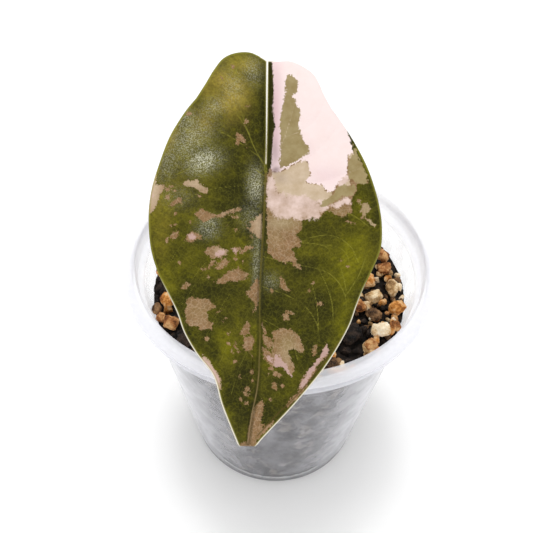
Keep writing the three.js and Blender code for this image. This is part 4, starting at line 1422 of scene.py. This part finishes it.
def corm_skin():
    angle = np.linspace(-0.5 * math.pi, 0.5 * math.pi, CORM_ROWS)
    scars = SCAR_DEPTH * np.abs(np.sin(CORM_SCARS * angle)) ** 0.5
    radius = (CORM_RADIUS - CORM_INSET + scars) * np.maximum(np.cos(angle), 0.02) ** 0.8
    height = CORM_TOP - CORM_HEIGHT / 2 + (CORM_HEIGHT / 2 - 0.2) * np.sin(angle)
    rings = turned(np.stack([radius, height], axis=-1), CORM_SIDES).reshape(-1, 3)
    rough = np.array([noise.fractal(Vector(p / 2.2), 0.6, 2.0, 5) for p in rings])
    middle = np.array([0, 0, CORM_TOP - CORM_HEIGHT / 2])
    return middle + (rings - middle) * (1 + CORM_ROUGHNESS * rough[:, None])


def skin_finish(name, dark, light, size, roughness):
    """A dull, barky skin with the given two colours."""
    material, tree, place = new_finish(name)
    flakes = grain(tree, place, size, detail=6, roughness=0.7)
    colour = ramp(tree, flakes, [(0.34, dark), (0.68, light)])
    dullness = stepped(tree, flakes, 0.3, 0.7, roughness, roughness + 0.15)
    finished(tree, shaded(tree, colour, dullness, bumped(tree, flakes, 0.15)))
    return material


corm_finish = skin_finish("corm_skin", paint(58, 38, 24), paint(142, 106, 70), 1.4, 0.75)
corm = new_piece("corm_skin", corm_skin(), tube_faces(CORM_ROWS, CORM_SIDES), corm_finish)
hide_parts("corm")
root_skin = skin_finish("root_skin", paint(160, 138, 104), paint(222, 208, 176), 0.8, 0.6)
roots = [solid for name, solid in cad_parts.items() if name.startswith("root_")]
for root in roots:
    root.data.materials.clear()
    root.data.materials.append(root_skin)
print("corm faces:", len(corm.data.polygons), "roots finished:", len(roots))

# %% [markdown]
# ## The cup
# The cup is moulded in one piece from thin, milky plastic. Its outline is turned round the upright
# axis: a tapering wall, a stacking ring, a neck and a rolled lip. The outline is a list of corners,
# each rounded by a short curve, which is easier to read and to change than a list of many points.

# %% Turn the cup
CUP_HEIGHT = 85.0
RIM_RADIUS = 45.0
LIP_SHOULDER = 44.2
MOUTH_RADIUS = 40.6
MOUTH_HEIGHT = 84.2
FOOT_RADIUS = 29.0
CUP_WALL = 0.9
BASE_THICKNESS = 1.2
WALL_FOOT_RADIUS = 28.1
WALL_SLOPE = 0.13647
RING_BOTTOM, RING_MIDDLE, RING_TOP = 78.5, 78.95, 79.4
RING_RADIUS, RING_EDGE = 43.6, 43.3
NECK_RADIUS = 41.5
CUP_SIDES = 192
CORNER_SHARE = 0.36
CORNER_REACH = 3.0


def wall_radius(height):
    """The inner radius of the cup's wall."""
    return WALL_FOOT_RADIUS + WALL_SLOPE * height


CUP_PROFILE = [
    (0.3, 0), (FOOT_RADIUS - 1.1, 0), (FOOT_RADIUS - 0.37, 0.275), (FOOT_RADIUS, 1.1),
    (wall_radius(RING_BOTTOM) + CUP_WALL, RING_BOTTOM), (RING_EDGE, RING_BOTTOM),
    (RING_RADIUS, RING_MIDDLE), (RING_EDGE, RING_TOP), (NECK_RADIUS, RING_TOP), (NECK_RADIUS, 83.0),
    (LIP_SHOULDER, 82.6), (RIM_RADIUS, 83.4), (RIM_RADIUS, MOUTH_HEIGHT), (LIP_SHOULDER, CUP_HEIGHT),
    (MOUTH_RADIUS + 0.8, CUP_HEIGHT), (MOUTH_RADIUS, MOUTH_HEIGHT), (40.3, RING_TOP),
    (wall_radius(RING_BOTTOM), 78.2), (wall_radius(1.2) - 0.3, 2.1),
    (wall_radius(1.2) - 0.9, BASE_THICKNESS), (0.3, BASE_THICKNESS),
]


def softened(profile, steps=4):
    """A profile with each corner rounded by a short curve."""
    profile = np.array(profile, float)
    made = [profile[0]]
    for before, corner, after in zip(profile[:-2], profile[1:-1], profile[2:]):
        back, on = np.linalg.norm(before - corner), np.linalg.norm(after - corner)
        reach = CORNER_SHARE * min(back, on, CORNER_REACH)
        start = corner + reach * (before - corner) / back
        end = corner + reach * (after - corner) / on
        for t in np.linspace(0, 1, steps):
            made.append((1 - t) ** 2 * start + 2 * t * (1 - t) * corner + t**2 * end)
    return np.array([*made, profile[-1]])


print("cup profile:", len(CUP_PROFILE), "corners,", len(softened(CUP_PROFILE)), "points when softened")

# %% [markdown]
# How white the plastic looks is called its cover here, nought for clear and one for white. It is a
# sum: a cloudy frost, more at the lip and ring, more where the wall is seen edge-on, and more at
# the thick foot. The foot is also tinted dark grey as a painted contact shadow. The far lip is
# taken out of the cover again, because bright daylight from behind makes that part of a real cup
# look clear.

# %% Frost the cup
LIP_FROST_FROM, LIP_FROST_TO = 76.5, 78.5
LIP_FROST = grey(176)
FROST_SIZE = 5.5
HAZE_SIZE = 1.2
PLASTIC_TINT = paint(240, 240, 246)
PLASTIC_LIGHT_TINT = paint(246, 246, 251)
FOOT_PAINTED_SHADOW = paint(96, 95, 99)


def cup_cover(tree, place):
    """How white the plastic is at each place, nought for clear."""
    _, back, height = node(tree, "SeparateXYZ", {0: place}).outputs
    lip = stepped(tree, height, LIP_FROST_FROM, LIP_FROST_TO)
    cloud = stepped(tree, grain(tree, place, FROST_SIZE, detail=3), 0.36, 0.66, 0.10, 0.205)
    frost = mixed(tree, lip, cloud, LIP_FROST)
    milky = sum_of(tree, stepped(tree, height, 0, 74, -0.03, 0.0), frost)
    edge_on = node(tree, "LayerWeight", {"Blend": 0.35}).outputs["Facing"]
    outline = product(tree, stepped(tree, edge_on, 0.53, 0.9, 0, 0.42), stepped(tree, height, 0, 6, 0.25, 1))
    # The foot term adds cover so that the painted contact shadow at the foot shows.
    cover = sum_of(tree, sum_of(tree, milky, outline), stepped(tree, height, 0.5, 4, 0.3, 0))
    far_lip = product(tree, stepped(tree, back, 8, 34, 0, 0.5), stepped(tree, height, 66, 74))
    return product(tree, cover, stepped(tree, far_lip, 0, 1, 1, 0))


def cup_finish():
    material, tree, place = new_finish("milky_plastic")
    height = node(tree, "SeparateXYZ", {0: place}).outputs["Z"]
    haze = grain(tree, place, HAZE_SIZE, detail=2)
    tint = ramp(tree, haze, [(0.3, PLASTIC_TINT), (0.7, PLASTIC_LIGHT_TINT)])
    # Painted contact shadow: the plastic near the foot is tinted dark grey.
    tint = mixed(tree, stepped(tree, height, 1.5, 5, 0.9, 0), tint, FOOT_PAINTED_SHADOW)
    plastic = shaded(tree, tint, stepped(tree, haze, 0.3, 0.7, 0.28, 0.4), bumped(tree, haze, 0.02, 0.4))
    clear = node(tree, "BsdfTransparent").outputs[0]
    inputs = {0: cup_cover(tree, place), 1: clear, 2: plastic}
    finished(tree, node(tree, "MixShader", inputs).outputs[0])
    return material


cup_rings = turned(softened(CUP_PROFILE), CUP_SIDES)
cup_faces = tube_faces(len(cup_rings), CUP_SIDES)
cup = new_piece("cup_shell", cup_rings.reshape(-1, 3), cup_faces, cup_finish())
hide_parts("cup")
print("cup rings:", len(cup_rings), "faces:", len(cup.data.polygons))

# %% [markdown]
# Eight small holes in the base let water out. They are cut with a boolean, the way a drill would:
# the drills are eight short cylinders in one mesh, used once and thrown away.

# %% Drill the drain holes
DRAIN_COUNT = 8
DRAIN_RADIUS = 2.2
DRAIN_CIRCLE = 19.0
DRILL_SIDES = 48
DRILL_OVERSHOOT = 1


def drill_mesh():
    ends = [(DRAIN_RADIUS, -DRILL_OVERSHOOT), (DRAIN_RADIUS, BASE_THICKNESS + DRILL_OVERSHOOT)]
    points, faces = [], []
    for hole in range(DRAIN_COUNT):
        angle = (hole + 0.5) * 2 * math.pi / DRAIN_COUNT
        centre = np.array([DRAIN_CIRCLE * math.cos(angle), DRAIN_CIRCLE * math.sin(angle), 0])
        start = len(points)
        points += ((turned(ends, DRILL_SIDES) + centre).reshape(-1, 3) * MM).tolist()
        faces += [[number + start for number in face] for face in tube_faces(2, DRILL_SIDES)]
    mesh = bpy.data.meshes.new("drills")
    mesh.from_pydata(points, [], faces)
    face_outwards(mesh)
    return mesh


def cut_away(piece, cutter_mesh):
    """Cuts a mesh out of a piece for good, and throws the cutter away."""
    cutter = bpy.data.objects.new("cutter", cutter_mesh)
    bpy.context.scene.collection.objects.link(cutter)
    cut = piece.modifiers.new("cut", "BOOLEAN")
    cut.operation = "DIFFERENCE"
    cut.solver = "EXACT"
    cut.object = cutter
    seen = piece.evaluated_get(bpy.context.evaluated_depsgraph_get())
    made = bpy.data.meshes.new_from_object(seen)
    piece.modifiers.clear()
    piece.data = made
    piece.data.name = piece.name
    bpy.data.objects.remove(cutter)


cut_away(cup, drill_mesh())
print("drain holes:", DRAIN_COUNT, "cup faces after drilling:", len(cup.data.polygons))

# %% [markdown]
# ## The potting mix
# The mix is a packed column of dark bark fines. Its surface is a grid too, but pushed about by a
# cell pattern: every cell becomes a clod, and the gap round it is painted dark as shade. The same
# pattern pits the side that lies against the wall, which gives the cloudy patches seen through the
# plastic. Pale patches painted on that side stand for light in the gaps between mix and wall.

# %% Pack the mix
MIX_TOP = 70.0
MIX_FLOOR = BASE_THICKNESS + GAP
MIX_SHOULDER = 0.7
MIX_AXIS = 0.4
MIX_SIDES = 300
MIX_SIDE_ROWS = 96
MIX_TOP_ROWS = 58
CLOD_SIZE = 3.6
CLOD_RISE = 1.5
SWELL_SIZE = 9
PIT_DEPTH = 1.1
FINES_SIZE, GAP_LIGHT_SIZE = 0.9, 4.2


def clods(points, size):
    """How high a clod stands at each point: one at its middle, nought in the gaps."""
    near = np.array([noise.voronoi(Vector(p / size))[0][:2] for p in points])
    return np.clip((near[:, 1] - near[:, 0]) * 1.8, 0, 1)


def mix_surface():
    """Points of the mix, the number of rings they lie in, and the height of the clod at each."""
    side_height = np.linspace(MIX_FLOOR, MIX_TOP - MIX_SHOULDER, MIX_SIDE_ROWS)
    side_radius = wall_radius(side_height) - GAP
    base = [(r, MIX_FLOOR) for r in np.linspace(MIX_AXIS, side_radius[0] - 0.5, 6)]
    side = list(zip(side_radius, side_height))
    top = [(r, MIX_TOP) for r in np.linspace(side_radius[-1] - MIX_SHOULDER, MIX_AXIS, MIX_TOP_ROWS)]
    rings = turned([*base, *side, *top], MIX_SIDES)
    points = rings.reshape(-1, 3)
    row = np.repeat(np.arange(len(rings)), MIX_SIDES)
    on_top = row >= len(base) + len(side)
    on_side = (row >= len(base)) & ~on_top
    height = clods(points, CLOD_SIZE) * 0.7 + clods(points + 40, CLOD_SIZE * 0.45) * 0.3
    swell = np.array([noise.noise(Vector(p / SWELL_SIZE)) for p in points])
    lift = CLOD_RISE * (height - 0.72) + 0.6 * swell - 0.35
    points[:, 2] += np.where(on_top, np.minimum(lift, 0.5), 0)
    below_top = np.clip((MIX_TOP - points[:, 2]) / 2, 0, 1)
    above_floor = np.clip(points[:, 2] / 4, 0, 1)
    pit = PIT_DEPTH * (1 - height) * below_top * above_floor
    points[:, :2] *= (1 - np.where(on_side, pit, 0) / np.hypot(points[:, 0], points[:, 1]))[:, None]
    return points, len(rings), height


def mix_finish():
    material, tree, place = new_finish("potting_mix")
    fines = grain(tree, place, FINES_SIZE, detail=6, roughness=0.7)
    browns = [(0.34, paint(17, 15, 14)), (0.6, paint(44, 36, 30)), (0.78, paint(96, 72, 50))]
    # Painted light: pale patches on the sides stand for light in the gaps between mix and wall.
    painted_gap_light = stepped(tree, grain(tree, place, GAP_LIGHT_SIZE, detail=2), 0.52, 0.70, 0, 0.55)
    colour = layered(tree, ramp(tree, fines, browns), [
        # Painted shade: the gaps between clods are darkened nearly to black.
        (stepped(tree, mark(tree, "clod"), 0.05, 0.4, 0.75, 0), paint(9, 8, 8)),
        (product(tree, painted_gap_light, mark(tree, "side")), paint(150, 142, 132)),
    ])
    roughness = stepped(tree, fines, 0.3, 0.7, 0.75, 0.95)
    finished(tree, shaded(tree, colour, roughness, bumped(tree, fines, 0.3), specular=0.2))
    return material


mix_points, mix_rings, clod_height = mix_surface()
mix_marks = {"clod": clod_height, "side": np.clip((MIX_TOP - 3 - mix_points[:, 2]) / 2, 0, 1)}
mix_faces = tube_faces(mix_rings, MIX_SIDES)
mix = new_piece("mix_column", mix_points, mix_faces, mix_finish(), mix_marks)
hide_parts("potting_mix")
print("mix faces:", len(mix.data.polygons), "highest clod in mm:", round(float(mix_points[:, 2].max()), 1))

# %% [markdown]
# ## Stone and bark
# The loose pieces on top are pumice, stained orange and cream, and chips of bark. Their finishes
# differ only in colour, so one recipe makes them all: three tones run through a cloudy stain, with
# pores cut into them that are painted dark as shade. The pores are also the bump.

# %% Mix the stone finishes
STONE_COLOURS = {
    "orange": ((118, 64, 24), (202, 136, 66), (234, 198, 148)),
    "deep_orange": ((84, 48, 26), (160, 104, 58), (208, 164, 112)),
    "tan": ((120, 88, 54), (192, 156, 108), (234, 214, 178)),
    "cream": ((190, 148, 96), (230, 206, 168), (250, 238, 214)),
    "brown": ((46, 32, 22), (98, 72, 50), (146, 112, 78)),
    "black": ((12, 10, 9), (34, 28, 25), (62, 50, 42)),
}
STAIN_SIZE = 2.4
PORE_SIZE = 0.55
PORE_DEPTH = 0.12


def stone_finish(look):
    low, middle, high = (paint(*colour) for colour in STONE_COLOURS[look])
    material, tree, place = new_finish("stone_" + look)
    stain = grain(tree, place, STAIN_SIZE, detail=5, roughness=0.65)
    pores = node(tree, "TexVoronoi", {"Vector": place, "Scale": 1 / PORE_SIZE}).outputs["Distance"]
    colour = ramp(tree, stain, [(0.36, low), (0.48, middle), (0.62, high)])
    # Painted shade: the pores are darkened to the stone's darkest tone.
    colour = mixed(tree, stepped(tree, pores, 0.1, 0.3, 0.45, 0), colour, low)
    roughness = stepped(tree, stain, 0.3, 0.7, 0.8, 0.95)
    finished(tree, shaded(tree, colour, roughness, bumped(tree, pores, PORE_DEPTH), specular=0.2))
    return material


stone_finishes = {look: stone_finish(look) for look in STONE_COLOURS}
print("stone finishes:", list(stone_finishes))

# %% [markdown]
# The measured stones are plain lumps with few faces. Modelling each by hand would take days, so one
# function roughens them all. Every face is cut in sixteen, a few random planes shave the stone, as
# breaking does, and noise lifts what is left. Pumice is rounded while its faces are cut up, and bark
# keeps its flat sides.

# %% Roughen a stone
STONE_ROUGHNESS = 0.42
STONE_SWELL = 0.45
STONE_CUTS = 7
CUT_SHARE = 0.9
LUMP_SIZE = 1.6
BROAD_LUMP_SIZE = 2.6


def cut_flat(points, chance, cuts, least, most):
    """Flattens points against random planes, at a share of the reach from the middle."""
    middle = points.mean(axis=0)
    points = points - middle
    for _ in range(cuts):
        way = chance.normal(size=3)
        way /= np.linalg.norm(way)
        reach = points @ way
        over = np.maximum(reach - chance.uniform(least, most) * reach.max(), 0)
        points = points - CUT_SHARE * over[:, None] * way
    return points + middle


def subdivided(solid, smooth):
    """Points, normals and faces of a measured solid, each face cut in sixteen."""
    shape = bmesh.new()
    shape.from_mesh(solid.data)
    bmesh.ops.remove_doubles(shape, verts=shape.verts, dist=1e-6)
    bmesh.ops.subdivide_edges(shape, edges=shape.edges, cuts=3, use_grid_fill=True, smooth=smooth)
    shape.normal_update()
    points = np.array([v.co for v in shape.verts]) / MM
    normals = np.array([v.normal for v in shape.verts])
    faces = [[v.index for v in face.verts] for face in shape.faces]
    shape.free()
    return points, normals, faces


def roughened(solid, seed, chip):
    """Points and faces of a measured solid, subdivided and roughened. A chip stays flat-sided."""
    points, normals, faces = subdivided(solid, 0.0 if chip else 0.6)
    offset = Vector((seed * 7.3, seed * 3.1, 0))
    stretch = Vector((1, 1, 3)) if chip else Vector((1, 1, 1))
    rough = []
    for point in map(Vector, points):
        lumps = noise.fractal((point * stretch) / LUMP_SIZE + offset, 0.7, 2.0, 5)
        rough.append(lumps + 0.7 * noise.noise(point / BROAD_LUMP_SIZE + offset))
    points = cut_flat(points, np.random.default_rng(seed), STONE_CUTS, 0.55, 0.85)
    return points + normals * (STONE_SWELL + STONE_ROUGHNESS * np.array(rough))[:, None], faces


print("a stone is shaved by", STONE_CUTS, "planes and lifted by", STONE_SWELL, "mm")

# %% [markdown]
# Stones that show in the picture have the colour they have there. The hidden ones take turns among
# a few colours. Each new stone replaces the measured one it was made from.

# %% Roughen the measured stones
STONE_LOOKS = {
    "pumice_01": "deep_orange", "pumice_02": "deep_orange", "pumice_03": "orange", "pumice_04": "tan",
    "pumice_05": "tan", "bark_01": "deep_orange", "pumice_06": "orange", "bark_02": "brown",
    "pumice_07": "cream", "pumice_08": "deep_orange", "pumice_09": "deep_orange", "bark_03": "brown",
    "bark_04": "black", "pumice_10": "orange", "pumice_11": "orange", "pumice_12": "brown",
    "bark_05": "deep_orange", "pumice_13": "deep_orange", "bark_06": "black",
}
SPARE_PUMICE_LOOKS = ("tan", "orange", "cream", "deep_orange", "tan")
SPARE_BARK_LOOKS = ("brown", "black")

stone_names = sorted(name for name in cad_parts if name.startswith(("pumice_", "bark_")))
for number, name in enumerate(stone_names):
    chip = name.startswith("bark_")
    slot = "bark" if chip else "pumice"
    spare = SPARE_BARK_LOOKS if chip else SPARE_PUMICE_LOOKS
    finish = stone_finishes[STONE_LOOKS.get(name, spare[number % len(spare)])]
    points, faces = roughened(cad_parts[name], number + 1, chip)
    stone = new_piece("rough_" + name, points, faces, finish, smooth=not chip)
    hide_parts(name)
print("stones roughened:", len(stone_names), "faces in the last:", len(faces))

# %% [markdown]
# ## Crumbs
# Between the stones lie hundreds of smaller crumbs. Each starts as a ball of a few dozen points,
# is squashed, and is cut flat by a handful of random planes. Most are dropped at random, and a few
# are placed where the picture shows one. A pixel of the picture says only in which direction a
# crumb lies, so its place is where that direction meets the top of the mix.

# %% Shape a crumb
BLACK_CLEARINGS = [(382, 287, 9), (352, 348, 13), (172, 292, 10), (188, 335, 12), (365, 335, 8)]
PLACED_CRUMBS = [
    ("tan", 367, 303, 2.1), ("orange", 382, 303, 1.8), ("brown", 371, 313, 1.9),
    ("brown", 385, 297, 1.4), ("cream", 376, 330, 1.8), ("orange", 391, 331, 1.5),
    ("orange", 168, 309, 1.8), ("deep_orange", 160, 318, 1.4), ("tan", 361, 296, 1.7),
    ("orange", 352, 366, 1.3), ("cream", 394, 318, 1.1), ("tan", 381, 274, 1.5),
    ("cream", 397, 275, 1.4), ("cream", 400, 288, 1.7), ("cream", 402, 298, 1.1),
    ("black", 159, 277, 1.8), ("black", 157, 288, 1.8), ("brown", 163, 263, 1.4),
    ("black", 157, 298, 1.6),
]
CRUMB_CUTS = 7
CRUMB_CLEARANCE = 0.2
PLACED_CRUMB_RISE = 0.6


def ball():
    """Points and faces of a ball of triangles, one across."""
    shape = bmesh.new()
    bmesh.ops.create_icosphere(shape, subdivisions=2, radius=1)
    points = np.array([v.co for v in shape.verts])
    faces = np.array([[v.index for v in face.verts] for face in shape.faces])
    shape.free()
    return points, faces


def crumb(points, chance, size):
    """One crumb: a squashed ball with flat cuts."""
    made = cut_flat(points * chance.uniform(0.65, 1.0, 3) * size, chance, CRUMB_CUTS, 0.45, 0.8)
    turn = np.linalg.qr(chance.normal(size=(3, 3)))[0]
    return made @ turn


def crumb_reach(size):
    """How far out a crumb of that size may lie without touching the cup."""
    return wall_radius(MIX_TOP) - GAP - CRUMB_CLEARANCE - size


def under_pixel(across, down, height):
    """The point at a given height that the camera sees at a pixel."""
    right, up, ahead = camera_axes()
    half = IMAGE_SIDE / 2
    way = FOCAL_PIXELS * ahead + (across - half) * right + (half - down) * up
    return CAMERA_PLACE + way * (height - CAMERA_PLACE[2]) / way[2]


def placed_centre(across, down, size):
    """Where a crumb seen at a pixel lies on the mix, drawn inwards if it would touch the cup."""
    centre = under_pixel(across, down, MIX_TOP + PLACED_CRUMB_RISE)
    pull = min(1, crumb_reach(size) / math.hypot(centre[0], centre[1]))
    return centre * (pull, pull, 1)


def in_clearing(point):
    across, down = to_pixels(point[None])[0]
    return any(math.hypot(across - x, down - y) < reach for x, y, reach in BLACK_CLEARINGS)


ball_points, ball_faces = ball()
print("clearings:", len(BLACK_CLEARINGS), "placed crumbs:", len(PLACED_CRUMBS))
print("faces in a crumb:", len(ball_faces))

# %% [markdown]
# Each colour has its own count, its smallest and largest size, and the part of the circle that it is
# spread over, in degrees to each side. Small crumbs are commoner than large ones, so the random
# number is squared. Clearings keep all but the black crumbs out, where the picture shows bare mix.
# All crumbs of a colour are joined into one mesh, which is lighter to handle than hundreds of
# objects, and a fixed seed drops them in the same places every time.

# %% Drop the crumbs
CRUMB_SEED = 11
CRUMB_KINDS = [
    ("crumbs_black", "black", "potting_mix", 330, 0.9, 2.3, 180),
    ("crumbs_brown", "brown", "bark", 190, 0.9, 2.4, 150),
    ("crumbs_orange", "orange", "pumice", 95, 0.8, 2.3, 120),
    ("crumbs_tan", "tan", "pumice", 105, 0.8, 2.5, 115),
    ("crumbs_cream", "cream", "pumice", 16, 0.8, 1.9, 120),
    ("crumbs_rust", "deep_orange", "pumice", 30, 0.8, 2.0, 120),
]
CRUMB_INNER_RADIUS = 9.0
CRUMB_SIDE = 5
CRUMB_SINK = 0.2
CRUMB_RISE = (-0.3, 0.9)
CRUMB_TOP = 72.0


def dropped(chance, small, large, spread):
    """One crumb at a random place: its points round its own middle, and that middle."""
    size = small + (large - small) * chance.random() ** 2
    radius = math.sqrt(chance.uniform(CRUMB_INNER_RADIUS**2, crumb_reach(size) ** 2))
    angle = math.radians(CRUMB_SIDE + spread * chance.uniform(-1, 1))
    made = crumb(ball_points, chance, size)
    height = min(MIX_TOP + CRUMB_SINK + chance.uniform(*CRUMB_RISE), CRUMB_TOP - made[:, 2].max())
    return made, np.array([radius * math.cos(angle), radius * math.sin(angle), height])


def crumbs_of(kind, chance):
    """The points of every crumb of one kind: the dropped ones, then those that the picture shows."""
    _, look, _, count, small, large, spread = kind
    made = []
    for _ in range(count):
        points, centre = dropped(chance, small, large, spread)
        if look == "black" or not in_clearing(centre):
            made.append(points + centre)
    for stone_look, across, down, size in PLACED_CRUMBS:
        if stone_look == look:
            made.append(crumb(ball_points, chance, size) + placed_centre(across, down, size))
    return made


chance = np.random.default_rng(CRUMB_SEED)
crumb_count = 0
for kind in CRUMB_KINDS:
    name, look, slot = kind[:3]
    made = crumbs_of(kind, chance)
    faces = [ball_faces + number * len(ball_points) for number in range(len(made))]
    new_piece(name, np.concatenate(made), np.concatenate(faces), stone_finishes[look], smooth=False)
    crumb_count += len(made)
print("crumbs:", crumb_count, "in", len(CRUMB_KINDS), "pieces")
